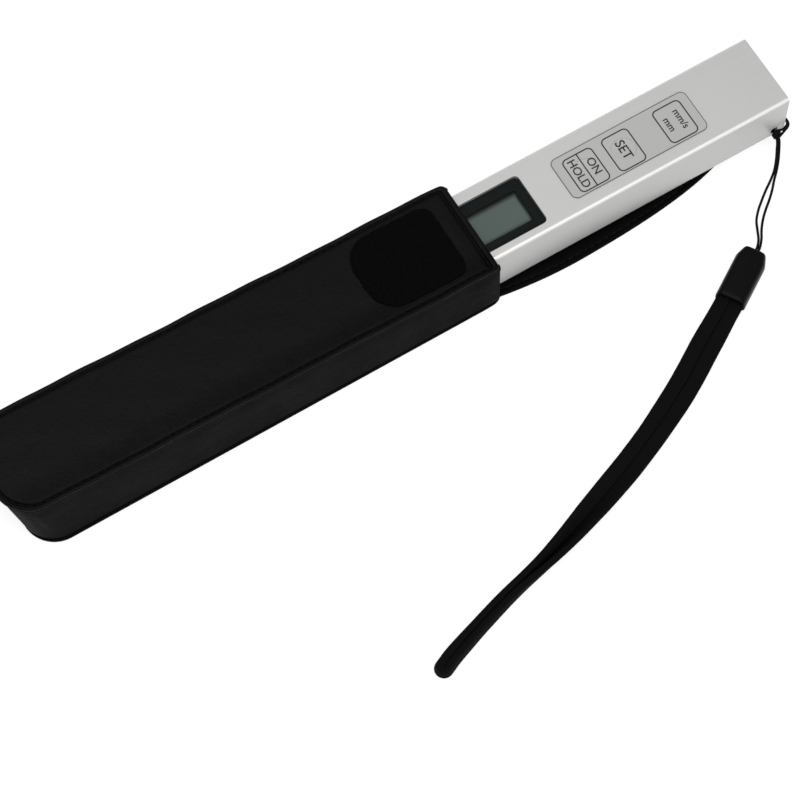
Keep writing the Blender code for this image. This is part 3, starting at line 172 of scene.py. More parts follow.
def arithmetic(operation, turned=False):
    """A Python operator that adds a Math node. Turned, the other value comes first."""
    def apply(self, other):
        values = (other, self) if turned else (self, other)
        return self.finish.math(operation, *values)

    return apply


class Socket:
    """An output of a shader node. Python's operators on it add Math nodes."""
    __add__ = arithmetic("ADD")
    __radd__ = arithmetic("ADD", turned=True)
    __sub__ = arithmetic("SUBTRACT")
    __rsub__ = arithmetic("SUBTRACT", turned=True)
    __mul__ = arithmetic("MULTIPLY")
    __rmul__ = arithmetic("MULTIPLY", turned=True)

    def __init__(self, finish, socket):
        self.finish = finish
        self.socket = socket


class Finish:
    """A procedural material: a Principled shader and the nodes that feed it."""

    def __init__(self, name, color, roughness, **fixed):
        self.material = bpy.data.materials.new(name)
        self.material.use_nodes = True
        self.tree = self.material.node_tree
        self.shader = self.tree.nodes["Principled BSDF"]
        self.shader.inputs["Base Color"].default_value = (*color, 1.0)
        self.shader.inputs["Roughness"].default_value = roughness
        for key, value in fixed.items():
            self.shader.inputs[key.replace("_", " ")].default_value = value

    def node(self, kind, settings=None, links=None, output=0):
        """A node of one type: its settings first, then the values or links of its sockets."""
        made = self.tree.nodes.new(kind)
        for name, value in (settings or {}).items():
            if name == "stops":
                while len(made.color_ramp.elements) < len(value):
                    made.color_ramp.elements.new(1.0)
                for element, (position, shade) in zip(made.color_ramp.elements, value):
                    element.position = position
                    element.color = (shade, shade, shade, 1.0)
            else:
                setattr(made, name, value)
        for key, value in (links or {}).items():
            if isinstance(value, Socket):
                self.tree.links.new(value.socket, made.inputs[key])
            else:
                made.inputs[key].default_value = value
        return Socket(self, made.outputs[output])

    def math(self, operation, *values):
        return self.node("ShaderNodeMath", {"operation": operation}, dict(enumerate(values)))

    def place(self):
        """The point in the object's own metres."""
        return self.node("ShaderNodeTexCoord", output="Object")

    def coordinate(self, axis):
        """One coordinate of that point: 0 is x, 1 is y, 2 is z."""
        return self.node("ShaderNodeSeparateXYZ", None, {0: self.place()}, axis)

    def along(self, axis):
        """One coordinate of the piece's UV map: 0 is along it, 1 is round or across it."""
        uv = self.node("ShaderNodeUVMap", {"uv_map": "run"})
        return self.node("ShaderNodeSeparateXYZ", None, {0: uv}, axis)

    def noise(self, size, detail=2.0, rough=0.5, stretch=None):
        """Soft noise, 0 to 1, whose features are about size metres across."""
        point = self.place()
        if stretch:
            point = self.node("ShaderNodeMapping", None, {"Vector": point, "Scale": stretch})
        links = {"Vector": point, "Scale": 1.0 / size, "Detail": detail, "Roughness": rough}
        return self.node("ShaderNodeTexNoise", None, links)

    def cells(self, size, feature="F1", smooth=None):
        """Distance within cells about size metres across."""
        links = {"Vector": self.place(), "Scale": 1.0 / size}
        if smooth is not None:
            links["Smoothness"] = smooth
        return self.node("ShaderNodeTexVoronoi", {"feature": feature}, links)

    def ramp(self, value, *stops):
        return self.node("ShaderNodeValToRGB", {"stops": stops}, {0: value})

    def tint(self, factor, color, low, high):
        """The base colour goes from one share of a colour to another with factor."""
        return self.blend(factor, shaded(color, low), shaded(color, high))

    def blend(self, factor, first, second):
        """The base colour goes from first to second with factor."""
        links = {0: factor, 6: (*first, 1.0), 7: (*second, 1.0)}
        return self.feed("Base Color", self.node("ShaderNodeMix", {"data_type": "RGBA"}, links, 2))

    def feed(self, name, value):
        self.tree.links.new(value.socket, self.shader.inputs[name])
        return self

    def bump(self, height, depth, strength=1.0):
        links = {"Height": height, "Distance": depth, "Strength": strength}
        return self.feed("Normal", self.node("ShaderNodeBump", None, links))


def shaded(color, share):
    return tuple(min(1.0, part * share) for part in color)


def leather_finish(name="black_leatherette", tone=1.0, level=0.02, near_edge_painted_shade=None):
    """Pebbled grain over soft creases; the pebbles' tops are a little smoother than the ground. With a share
    for the near edge, the colour is that share of itself along the near edge: painted shade."""
    values = bpy.context.scene.leather_values
    color = shaded(values.color, tone)
    finish = Finish(name, color, values.roughness, Specular_IOR_Level=level)
    pebbles = finish.cells(values.grain, "SMOOTH_F1", 0.6)
    fine = finish.noise(values.grain * 0.4, 2.0)
    wear = finish.noise(0.011, 3.0, 0.6)
    crease = finish.noise(0.0035, 4.0, 0.6)
    if near_edge_painted_shade is None:
        finish.tint(0.6 * wear + 0.5 * pebbles, color, 1.45, 0.60)
    else:
        y = finish.coordinate(1)
        # Painted shade: the colour darkens towards the near edge of the front.
        inward = finish.ramp((y + SHEATH_HALF) * (0.5 / SHEATH_HALF), (0.10, 0.0), (0.30, 1.0))
        shown = inward * (0.75 + 0.5 * wear) - 0.45 * pebbles
        finish.tint(shown, color, near_edge_painted_shade, 1.30)
    finish.feed("Roughness", values.roughness - 0.10 + 0.22 * wear + 0.10 * pebbles)
    return finish.bump(0.55 * (1 - pebbles) + 0.15 * fine + 1.3 * crease, values.relief, 0.8)


def speckled_finish(name, color, roughness, noise, dark, light, depth, **fixed):
    """Two shares of one colour and the bump follow the same noise."""
    finish = Finish(name, color, roughness, **fixed)
    speck = finish.noise(*noise)
    finish.tint(speck, color, dark, light)
    return finish.bump(speck, depth)


def pile_finish():
    """Loop pile: fine matted fibres that swallow the light."""
    finish = Finish("black_loop_pile", (0.0022, 0.0022, 0.0022), 0.95, Specular_IOR_Level=0.04)
    loops = finish.cells(0.00035)
    tufts = finish.noise(0.0012, 4.0, 0.7)
    finish.blend(loops * tufts, (0.0010, 0.0010, 0.0010), (0.0050, 0.0050, 0.0050))
    return finish.bump(loops + tufts, 0.00025)


def hook_finish():
    """Hook tape: nylon with faint mould marks, paler where the hooks have rubbed."""
    finish = Finish("black_hook_tape", (0.008, 0.008, 0.008), 0.5, Specular_IOR_Level=0.08)
    rubbed = finish.noise(0.003, 3.0, 0.6)
    finish.blend(rubbed, (0.005, 0.005, 0.005), (0.012, 0.012, 0.012))
    return finish.bump(finish.noise(0.0002, 2.0), 0.00002)


def aluminium_finish():
    """Drawn tube, fine-blasted and anodised: faint lines along it and a fine sparkle; a painted highlight
    lightens its rounded upper edges.
    """
    values = bpy.context.scene.metal_values
    finish = Finish("satin_aluminium", values.color, values.roughness, Metallic=values.metallic)
    drawn = finish.noise(0.0006, 2.0, 0.5, (0.02, 1.0, 1.0))
    blast = finish.noise(0.00012, 2.0, 0.6)
    cloud = finish.noise(0.03, 2.0, 0.5)
    _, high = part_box("housing")
    y = finish.coordinate(1)
    z = finish.coordinate(2)
    # Painted highlight: the base colour is lighter on the rounded upper edges, where the lamps' light would
    # catch them.
    past_flat = (finish.math("ABSOLUTE", y) + z - (high.y + high.z - 0.98 * MM)) * (1 / (0.30 * MM))
    painted_edge_highlight = finish.ramp(past_flat, (0.0, 0.0), (1.0, 1.0))
    finish.tint(0.1 * drawn + 0.1 * cloud + 0.8 * painted_edge_highlight, values.color, 0.96, 1.5)
    finish.feed("Roughness", values.roughness - 0.05 + 0.06 * drawn + 0.06 * blast)
    return finish.bump(blast + 0.3 * drawn, 0.000004)


def moulded_finish(name="moulded_black_plastic", color=(0.009, 0.009, 0.0095), roughness=0.42, level=0.2):
    """Moulded plastic: fine spark-eroded texture and faint handling marks."""
    finish = Finish(name, color, roughness, Specular_IOR_Level=level)
    spark = finish.noise(0.00018, 3.0, 0.6)
    marks = finish.noise(0.006, 4.0, 0.6)
    finish.tint(marks, color, 0.85, 1.2)
    finish.feed("Roughness", roughness - 0.06 + 0.16 * marks)
    return finish.bump(spark, 0.000015)


def pane_finish():
    """Clear plastic pane with a faint smoke tint."""
    finish = Finish("clear_pane", (0.004, 0.006, 0.006), 0.06, Alpha=0.16, Specular_IOR_Level=0.2)
    smears = finish.noise(0.009, 3.0, 0.6)
    finish.feed("Roughness", 0.05 + 0.06 * smears)
    finish.material.surface_render_method = "BLENDED"
    return finish.bump(smears, 0.00001, 0.4)


def display_finish():
    """Liquid-crystal cell: grey-green and slightly uneven, with a painted shadow of the bezel along two
    edges.
    """
    color = bpy.context.scene.face_values.display
    finish = Finish("grey_green_display", color, 0.35, Specular_IOR_Level=0.1)
    low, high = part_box("display_glass")
    x = finish.coordinate(0)
    y = finish.coordinate(1)
    from_end = (high.x - 1.6 * MM - x) * (1 / (0.9 * MM))
    from_side = (high.y - 2.4 * MM - y) * (1 / (1.3 * MM))
    # Painted shadow: the cell darkens towards its far and strap-end edges, where the bezel shades it.
    painted_bezel_shadow = finish.ramp(finish.math("MINIMUM", from_end, from_side), (0.0, 0.0), (1.0, 1.0))
    cloud = finish.noise(0.012, 2.0)
    finish.blend(painted_bezel_shadow * (0.92 + 0.1 * cloud), shaded(color, 0.12), color)
    return finish.bump(finish.noise(0.0002, 1.0), 0.000003)


def stripe_finish():
    """Contact strip: dark conducting layers between pale ones."""
    finish = Finish("striped_rubber", (0.3, 0.3, 0.3), 0.8)
    x = finish.coordinate(0)
    wave = finish.math("SINE", x * (2 * math.pi / 0.0002))
    finish.blend(0.5 + 0.5 * wave, (0.02, 0.02, 0.02), (0.5, 0.5, 0.5))
    return finish.bump(wave, 0.00001)


def film_finish():
    """Printed film: even silver grey with a fine matt grain."""
    color = bpy.context.scene.face_values.film
    finish = Finish("silver_grey_film", color, 0.42, Specular_IOR_Level=0.35)
    cloud = finish.noise(0.016, 2.0)
    grain = finish.noise(0.00015, 2.0, 0.6)
    finish.tint(0.7 * cloud + 0.3 * grain, color, 0.97, 1.03)
    finish.feed("Roughness", 0.38 + 0.08 * grain)
    return finish.bump(grain, 0.000004)


def turned_finish(name, color, roughness=0.3):
    """Metal from the lathe: fine rings round the X axis, slight stains."""
    finish = Finish(name, color, roughness, Metallic=1.0)
    rings = finish.noise(0.00015, 2.0, 0.5, (1.0, 0.05, 0.05))
    stain = finish.noise(0.004, 3.0)
    finish.tint(stain, color, 0.88, 1.06)
    finish.feed("Roughness", roughness - 0.06 + 0.16 * stain)
    return finish.bump(rings, 0.000006)


def board_finish():
    """Green solder mask over copper runs, with a faint weave."""
    finish = Finish("green_board", (0.02, 0.16, 0.06), 0.35)
    links = {"Vector": finish.place(), "Scale": 260.0, "Mortar Size": 0.06, "Bias": 0.0}
    runs = finish.node("ShaderNodeTexBrick", None, links, 1)
    finish.blend(runs, (0.012, 0.11, 0.04), (0.03, 0.22, 0.08))
    return finish.bump(runs, 0.00002)


def braid_finish(name, color, pitch, turns):
    """Braid: two sets of strands that cross on the slant along and round the cord."""
    finish = Finish(name, color, 0.75, Specular_IOR_Level=0.05)
    run = finish.along(0) * (2 * math.pi / pitch)
    turn = finish.along(1) * (2 * math.pi * turns)
    strands = finish.math("SINE", run + turn) * finish.math("SINE", run - turn)
    finish.tint(0.5 + 0.5 * strands, color, 0.6, 1.5)
    return finish.bump(strands, 0.00004)


def webbing_finish():
    """Woven strap: fine ribs across it and a herringbone along it."""
    color = bpy.context.scene.strap_values.webbing
    finish = Finish("black_webbing", color, 0.8, Specular_IOR_Level=0.05)
    run = finish.along(0) * (2 * math.pi / 0.0009)
    across = finish.along(1)
    slant = finish.math("PINGPONG", across, 0.00065) * (2 * math.pi / 0.0009)
    weave = finish.math("SINE", run + slant)
    ends = finish.math("SINE", across * (2 * math.pi / 0.00045))
    fuzz = finish.noise(0.0003, 3.0, 0.7)
    finish.tint(0.5 + 0.3 * weave + 0.2 * fuzz, color, 0.55, 1.5)
    return finish.bump(0.6 * weave + 0.3 * ends + 0.4 * fuzz, 0.00006)


# Surfaces

def grid_corners(index, wrap):
    """The four corners of each face of a grid; with wrap, its last column is joined to its first."""
    if wrap:
        index = np.concatenate([index, index[:, :1]], axis=1)
    corners = (index[:-1, :-1], index[:-1, 1:], index[1:, 1:], index[1:, :-1])
    return np.stack(corners, axis=2).reshape(-1, 4, *index.shape[2:])


def surface(points, run=None, across=None, ends=False):
    """Rings of points as (points, faces, uv). run is the UV value of each ring, across that of each of its
    points and of its first one once more. With ends, the first and last ring are closed by a fan."""
    rows, columns = points.shape[:2]
    verts = points.reshape(-1, 3)
    faces = [grid_corners(np.arange(rows * columns).reshape(rows, columns), True)]
    run = np.zeros(rows) if run is None else run
    across = np.zeros(columns + 1) if across is None else across
    uv = [grid_corners(np.stack(np.meshgrid(run, across, indexing="ij"), axis=2), False)]
    if ends:
        for row in (0, rows - 1):
            ring = row * columns + np.arange(columns)
            centre = np.full(columns, len(verts))
            verts = np.vstack([verts, points[row].mean(axis=0)])
            faces.append(np.stack([centre, ring, np.roll(ring, -1)], axis=1))
            uv.append(np.full((columns, 3, 2), (run[row], across[0])))
    return verts, faces, uv


def together(surfaces):
    """Several surfaces as one."""
    verts, faces, uv, start = [], [], [], 0
    for points, parts, maps in surfaces:
        verts.append(points)
        faces += [part + start for part in parts]
        uv += maps
        start += len(points)
    return np.vstack(verts), faces, uv


def make_piece(name, shape, body, finish, replaces=(), sharp=40.0):
    """A mesh object from a surface: doubles merged, faces outward, smooth up to the sharp angle."""
    verts, faces, uv = shape
    mesh = bpy.data.meshes.new(name)
    mesh.from_pydata(verts.tolist(), [], [face for part in faces for face in part.tolist()])
    layer = mesh.uv_layers.new(name="run")
    layer.data.foreach_set("uv", np.concatenate([part.reshape(-1) for part in uv]).astype(np.float32))
    return dress_mesh(name, mesh, body, finish, replaces, sharp)


def placed(name, data):
    """A new object of the scene."""
    made = bpy.data.objects.new(name, data)
    bpy.context.scene.collection.objects.link(made)
    return made


def dress_mesh(name, mesh, body, finish, replaces=(), sharp=40.0, merge=1e-7):
    shape = bmesh.new()
    shape.from_mesh(mesh)
    bmesh.ops.remove_doubles(shape, verts=shape.verts, dist=merge)
    bmesh.ops.recalc_face_normals(shape, faces=shape.faces)
    shape.to_mesh(mesh)
    shape.free()
    mesh.shade_smooth()
    mesh.set_sharp_from_angle(angle=math.radians(sharp))
    mesh.materials.clear()
    mesh.materials.append(finish.material)
    piece = placed(name, mesh)
    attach(piece, body)
    if replaces:
        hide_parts(*replaces)
    return piece


def keep_flats(mesh, sharp):
    """A corner's normal is the mean, weighted by area, of the faces round its vertex that turn from its own
    by less than the sharp angle, so that flat faces stay flat up to the rounded edges beside them."""
    def read(items, name, kind, width=1):
        values = np.empty(len(items) * width, kind)
        items.foreach_get(name, values)
        return values

    areas = read(mesh.polygons, "area", np.float32)
    vertex = read(mesh.loops, "vertex_index", np.int32)
    face = np.repeat(np.arange(len(mesh.polygons)), read(mesh.polygons, "loop_total", np.int32))
    normals = read(mesh.polygons, "normal", np.float32, 3).reshape(-1, 3).astype(float)[face]
    order = np.argsort(vertex, kind="stable")
    around = np.bincount(vertex)
    first_at = np.cumsum(around) - around
    mates = around[vertex[order]]
    one = np.repeat(order, mates)
    step = np.arange(len(one)) - np.repeat(np.cumsum(mates) - mates, mates)
    other = order[first_at[vertex[one]] + step]
    near = np.sum(normals[one] * normals[other], axis=1) > math.cos(math.radians(sharp))
    shown = np.zeros_like(normals)
    np.add.at(shown, one[near], (normals[other] * areas[face[other], None])[near])
    mesh.normals_split_custom_set(unit(shown).tolist())


def skin(finish, slot, *nodes, sharp=32.0):
    """Copies of the meter's solids, merged and shaded smooth, that stand for them."""
    for node in nodes:
        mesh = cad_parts[node].data.copy()
        dress_mesh(f"{node}_skin", mesh, "meter", finish, (node,), sharp, 1e-6)
        keep_flats(mesh, sharp)


def dress_nodes(finish, *nodes):
    for node in nodes:
        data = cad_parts[node].data
        data.materials.clear()
        data.materials.append(finish.material)


def full_turn(count):
    """Angles evenly spaced round a circle."""
    return np.linspace(0.0, 2 * np.pi, count, endpoint=False)


def raised(line, z):
    """A flat line at a height, or at one height for each of its points."""
    return np.column_stack([line, np.broadcast_to(z, len(line))])


def smooth_step(value):
    value = np.clip(value, 0.0, 1.0)
    return value * value * (3 - 2 * value)


def eased(value, start, end):
    """0 up to start, 1 from end on, smooth between them."""
    return smooth_step((value - start) / (end - start))


def smooth_route(points, count):
    """Points evenly spaced on the Catmull-Rom curve through a route."""
    route = np.array(points, float)
    ends = np.vstack([2 * route[0] - route[1], route, 2 * route[-1] - route[-2]])
    t = np.linspace(0.0, 1.0, 40, endpoint=False)[None, :, None]
    a, b, c, d = (ends[i:len(ends) - 3 + i, None, :] for i in range(4))
    fine = 0.5 * (2 * b + (c - a) * t + (2 * a - 5 * b + 4 * c - d) * t**2 + (3 * b - a - 3 * c + d) * t**3)
    fine = np.vstack([fine.reshape(-1, route.shape[1]), route[-1:]])
    return points_at(fine, np.linspace(0.0, run_of(fine)[-1], count))


def points_at(line, places):
    """The points of a line at these distances along it."""
    run = run_of(line)
    return np.column_stack([np.interp(places, run, column) for column in line.T])


def run_of(points):
    """Distance along a line of points, 0 at its start."""
    return np.concatenate([[0.0], np.cumsum(np.linalg.norm(np.diff(points, axis=0), axis=1))])


def unit(vectors):
    return vectors / np.linalg.norm(vectors, axis=-1, keepdims=True)


def frames_along(path):
    """Travel, side and up at each point of a path. The side turns as little as it can from point to point."""
    travel = unit(np.gradient(path, axis=0))
    side = np.zeros_like(path)
    last = np.cross(travel[0], (0.0, 0.0, 1.0))
    for i, way in enumerate(travel):
        last = last - way * np.dot(last, way)
        last /= np.linalg.norm(last)
        side[i] = last
    return travel, side, np.cross(side, travel)


def tube_shape(path, radius, sides=14):
    """A round tube: centre + radius (side cos a + up sin a), with half-round ends."""
    travel, side, up = frames_along(path)
    angle = full_turn(sides)
    cap = np.array((0.0, 0.38, 0.71, 0.92))
    centres = np.vstack([
        path[0] - travel[0] * radius * np.sqrt(1 - cap[:, None] ** 2),
        path,
        path[-1] + travel[-1] * radius * np.sqrt(1 - cap[::-1, None] ** 2),
    ])
    sizes = radius * np.concatenate([cap, np.ones(len(path)), cap[::-1]])
    side, up = (np.vstack([np.repeat(way[:1], 4, 0), way, np.repeat(way[-1:], 4, 0)]) for way in (side, up))
    ring = np.cos(angle)[None, :, None] * side[:, None] + np.sin(angle)[None, :, None] * up[:, None]
    points = centres[:, None] + ring * sizes[:, None, None]
    return surface(points, run=run_of(centres), across=np.linspace(0, 1, sides + 1))


def turn_line(centre, radius, start, end, count):
    """Points on an arc, angles in degrees."""
    angle = np.radians(np.linspace(start, end, count))
    return np.column_stack([centre[0] + radius * np.cos(angle), centre[1] + radius * np.sin(angle)])


def right_of(outline):
    """The way to the right at each point of a closed outline."""
    way = unit(np.roll(outline, -1, axis=0) - np.roll(outline, 1, axis=0))
    return np.column_stack([way[:, 1], -way[:, 0]])


def straight_line(start, end, count):
    share = np.linspace(0.0, 1.0, count)[1:-1, None]
    return np.array(start) * (1 - share) + np.array(end) * share


def oblong(low, high, low_radius, high_radius, run=150, turn=14, end=18):
    """A rectangle's outline with round corners, from its near corner at high x along its near side to low x,
    round, back along its far side and across its end at high x. Both sides have points at the same x."""
    (x0, y0), (x1, y1) = low, high
    a, b = low_radius, high_radius
    return np.vstack([
        turn_line((x1 - b, y0 + b), b, 0, -90, turn),
        straight_line((x1 - b, y0), (x0 + a, y0), run),
        turn_line((x0 + a, y0 + a), a, -90, -180, turn),
        straight_line((x0, y0 + a), (x0, y1 - a), end),
        turn_line((x0 + a, y1 - a), a, 180, 90, turn),
        straight_line((x0 + a, y1), (x1 - b, y1), run),
        turn_line((x1 - b, y1 - b), b, 90, 0, turn),
        straight_line((x1, y1 - b), (x1, y0 + b), end),
    ])


# Sheath

def drawn_in(edge, middle, shares, height):
    """Rings between a ring's line and a middle line, at the heights that height(x, y, share) gives."""
    rings = []
    for share in shares:
        line = edge[:, :2] * (1 - share) + middle * share
        rings.append(raised(line, height(*line.T, share)))
    return rings


def middle_line(edge, low, high):
    """The stretch of the X axis that a ring is drawn in to."""
    return np.column_stack([np.clip(edge[:, 0], low, high), np.zeros(len(edge))])


def rise(x):
    """How much higher the sheath stands at x than at its mouth."""
    return END_RISE * (MOUTH_X - x) / SHEATH_LENGTH


def hump(x, middle, reach):
    return np.exp(-(((x - middle) / reach) ** 2))


def sway(points, share=1.0):
    """Handwork: the sewn edges stray from their line and part towards the closed end, and the far one swells
    towards the mouth."""
    x, y, z = np.moveaxis(points, -1, 0)
    edge = np.clip(y / SHEATH_HALF, -1.0, 1.0) ** 3 * share
    stray = 0.10 * np.sin(x / 0.0071 + 1.0) + 0.06 * np.sin(x / 0.0027 + np.sign(y))
    swell = 0.24 * hump(x, 19 * MM, 13 * MM) * (y > 0)
    parting = 0.42 * np.clip((MOUTH_X - x) / SHEATH_LENGTH, 0.0, 1.0)
    corner = hump(x, MOUTH_X, 3 * MM) * np.abs(edge) ** 2
    dip = -0.22 * corner * (y < 0) - 0.10 * corner * (y > 0)
    return np.stack([x, y + edge * (stray + swell + parting) * MM, z + dip * share * MM], axis=-1)


FRONT_EDGE = (  # how far in from the front's edge, and how high, in millimetres
    (0.45, 0.00), (0.18, 0.06), (0.04, 0.22), (0.00, 0.42), (0.02, 0.66), (0.12, 0.88), (0.32, 1.03),
    (0.60, 1.08), (0.86, 1.03), (1.06, 0.84), (1.18, 0.52), (1.30, 0.18), (1.50, 0.18), (1.66, 0.52),
    (1.86, 0.80), (2.15, 0.93),
)


def front_outline(inset):
    return oblong(
        (SHEATH_END_X + inset, inset - SHEATH_HALF),
        (MOUTH_X - inset * 1.5, SHEATH_HALF - inset),
        CORNER - inset,
        max(1.6 * MM - inset * 0.7, 0.3 * MM),
    )


def front_height(x, y):
    """The field's height over the front's underside: crowned across, with long soft waves."""
    across = np.clip(np.abs(y) / (SHEATH_HALF - 2.1 * MM), 0.0, 1.0)
    wave = 0.045 * np.sin(x / 0.0075 + 0.7) * np.cos(y / 0.005 + 0.4) + 0.03 * np.sin((x + 1.7 * y) / 0.0031)
    return FRONT_FIELD + (0.17 * (1 - across**2) + wave * (1 - across**4)) * MM


def field_top(x, y):
    """Where the front's field lies."""
    return FRONT_UNDERSIDE + rise(x) + front_height(x, y)


def front_shape():
    """Closed rings: the underside, the rolled edge, the sewn groove and the field, drawn in to a line."""
    def underside(x, y, share):
        return FRONT_UNDERSIDE + rise(x)

    def field(x, y, share):
        ease = smooth_step(share * 4)
        return (FRONT_UNDERSIDE + rise(x) + FRONT_FIELD) * (1 - ease) + field_top(x, y) * ease

    rings = []
    for inset, height in FRONT_EDGE:
        line = front_outline(inset * MM)
        rings.append(raised(line, FRONT_UNDERSIDE + rise(line[:, 0]) + height * MM))
    middle = middle_line(rings[-1], SHEATH_END_X + CORNER, MOUTH_X - 11 * MM)
    above = drawn_in(rings[-1], middle, np.linspace(0.0, 1.0, 17)[1:], field)
    below = drawn_in(rings[0], middle, np.linspace(1.0, 0.0, 5)[:-1], underside)
    return surface(sway(np.array(below + rings + above)))


def band_line(end_x, half, radius, run=150, turn=22, end=16):
    """The band's line from above, from the mouth's near side round the closed end, with its outward way."""
    line = np.vstack([
        np.linspace((BAND_START_X, -half), (end_x + radius, -half), run)[:-1],
        turn_line((end_x + radius, radius - half), radius, -90, -180, turn),
        straight_line((end_x, radius - half), (end_x, half - radius), end),
        turn_line((end_x + radius, half - radius), radius, 180, 90, turn),
        np.linspace((end_x + radius, half), (BAND_START_X, half), run)[1:],
    ])
    angles = np.radians(np.concatenate([
        np.full(run - 1, -90.0),
        np.linspace(-90, -180, turn),
        np.full(end - 2, 180.0),
        np.linspace(180, 90, turn),
        np.full(run - 1, 90.0),
    ]))
    return line, np.column_stack([np.cos(angles), np.sin(angles)])


def band_shape():
    """The gusset's wall: a section of bulge, crease and turned bead, carried round the sheath's outline."""
    low, ways = band_line(SHEATH_END_X + END_LEAN + 0.7 * MM, BAND_HALF, FOOT_CORNER - 0.7 * MM)
    high, _ = band_line(SHEATH_END_X + 0.7 * MM, BAND_HALF, CORNER - 0.7 * MM)
    bead_share = (0.912, 0.922, 0.930, 0.940, 0.955, 0.970, 0.983, 0.993, 1.0)
    share = np.concatenate([np.linspace(0.0, 0.90, 22), bead_share])
    bulge_share = (0.0, 0.03, 0.08, 0.25, 0.5, 0.75, 0.91)
    bulge = np.interp(share, bulge_share, (0.50, 0.66, 0.68, 0.60, 0.50, 0.34, 0.02))
    bead = np.interp(share, bead_share, (0.02, 0.12, 0.40, 0.54, 0.60, 0.58, 0.48, 0.28, 0.0))
    out = np.where(share <= 0.90, bulge, bead) * MM
    share = np.concatenate([share, np.linspace(1.0, 0.0, 9)])
    out = np.concatenate([out, np.full(9, -BAND_WALL)])

    wall_middle = -BAND_WALL / 2
    pinch = np.ones(len(low))
    pinch[:4] = (0.0, 0.55, 0.85, 0.97)
    pinch[-4:] = pinch[:4][::-1]
    spread = wall_middle + (out[None, :] - wall_middle) * pinch[:, None]
    back = np.array((0.0, 0.09, 0.3, 0.6)) * MM
    for line in (low, high):
        line[:4, 0] = BAND_START_X - back
        line[-4:, 0] = BAND_START_X - back[::-1]

    run = run_of(high)
    turned = np.abs(ways[:, 0]) > 0.02
    ripple = 0.07 * MM * np.sin(run / 0.0006) * smooth_step(np.convolve(turned, np.ones(9) / 9, "same"))
    ripple_share = np.sin(np.pi * np.clip(share / 0.9, 0, 1)) * (out > 0)
    waves = 0.06 * MM * np.sin(run / 0.0052 + 0.5) + 0.05 * MM * np.sin(run / 0.0023)
    spread = spread + (ripple + waves)[:, None] * ripple_share[None, :]

    line = low[:, None] * (1 - share[None, :, None]) + high[:, None] * share[None, :, None]
    line = line + ways[:, None] * spread[:, :, None]
    bottom = BACK_TOP - 0.05 * MM
    top = FRONT_UNDERSIDE - 0.2 * MM + rise(high[:, 0])
    z = bottom + (top[:, None] - bottom) * share[None, :]
    points = np.dstack([line, z])
    round_off = 1.7 * MM * (1 - np.sqrt(1 - (1 - np.clip(share / 0.095, 0, 1)) ** 2))
    from_mouth = np.clip(1 - (BAND_START_X - line[:, :, 0]) / (5 * MM), 0, 1)
    points[:, :, 0] -= from_mouth * round_off[None, :]
    return surface(sway(points, share[None, :] ** 2), ends=True)


def back_outline(inset):
    """The back's outline with its flap: a straight neck, full soon after and round at its end. The pocket's
    part grows a little wider towards the closed end."""
    end = SHEATH_END_X + END_LEAN
    angle = np.radians(np.linspace(0.0, 90.0, 70))
    share = np.sin(angle)
    width = FLAP_HALF * np.sqrt(np.clip(1 - share**FLAP_POWER, 0, None))
    width -= (FLAP_HALF - FLAP_NECK) * np.clip(1 - share / FLAP_FULL_AT, 0, None) ** 2
    flap = np.column_stack([MOUTH_X + 1.2 * MM + (FLAP_LENGTH - 1.2 * MM) * share, width])
    turn = np.radians(np.linspace(0.0, 90.0, 12))[:-1]
    round_corner = np.column_stack([
        MOUTH_X + (2.9 * np.sin(turn) - 2.1) * MM,
        (SHEATH_HALF - FLAP_NECK) * (1 - np.cos(turn)) - SHEATH_HALF,
    ])
    near = np.vstack([
        np.linspace((end + FOOT_CORNER, -SHEATH_HALF), (MOUTH_X - 2.1 * MM, -SHEATH_HALF), 110)[1:-1],
        round_corner,
        flap[:-1] * (1, -1),
    ])
    far = near[::-1] * (1, -1)
    line = np.vstack([
        turn_line((end + FOOT_CORNER, SHEATH_HALF - FOOT_CORNER), FOOT_CORNER, 90, 180, 14),
        straight_line((end, SHEATH_HALF - FOOT_CORNER), (end, FOOT_CORNER - SHEATH_HALF), 16),
        turn_line((end + FOOT_CORNER, FOOT_CORNER - SHEATH_HALF), FOOT_CORNER, 180, 270, 14),
        near,
        flap[-1:],
        far,
    ])
    along = np.clip((MOUTH_X - line[:, 0]) / SHEATH_LENGTH, 0.0, 1.0)
    line[:, 1] *= 1 + 0.010 * np.clip(along / 0.03, 0.0, 1.0) + 0.020 * along
    return line - right_of(line) * inset


def back_shape():
    """Closed rings: the underside, the turned edge, the sewn groove and the flat field."""
    profile = (
        (0.55, 0.00), (0.25, 0.06), (0.07, 0.24), (0.00, 0.50), (0.00, 0.88), (0.07, 1.14), (0.25, 1.32),
        (0.55, 1.40), (1.05, 1.38), (1.30, 1.28), (1.45, 1.12), (1.60, 1.10), (1.75, 1.24), (2.05, 1.36),
    )
    rings = []
    for inset, height in profile:
        line = back_outline(inset * MM)
        rings.append(raised(line, height * MM))
    middle = middle_line(rings[0], SHEATH_END_X + END_LEAN + FOOT_CORNER, MOUTH_X + FLAP_LENGTH - 14 * MM)
    above = drawn_in(rings[-1], middle, np.linspace(0.0, 1.0, 8)[1:], lambda x, y, share: 0 * x + BACK_FIELD)
    below = drawn_in(rings[0], middle, np.linspace(1.0, 0.0, 4)[:-1], lambda x, y, share: 0 * x)
    return surface(np.array(below + rings + above))


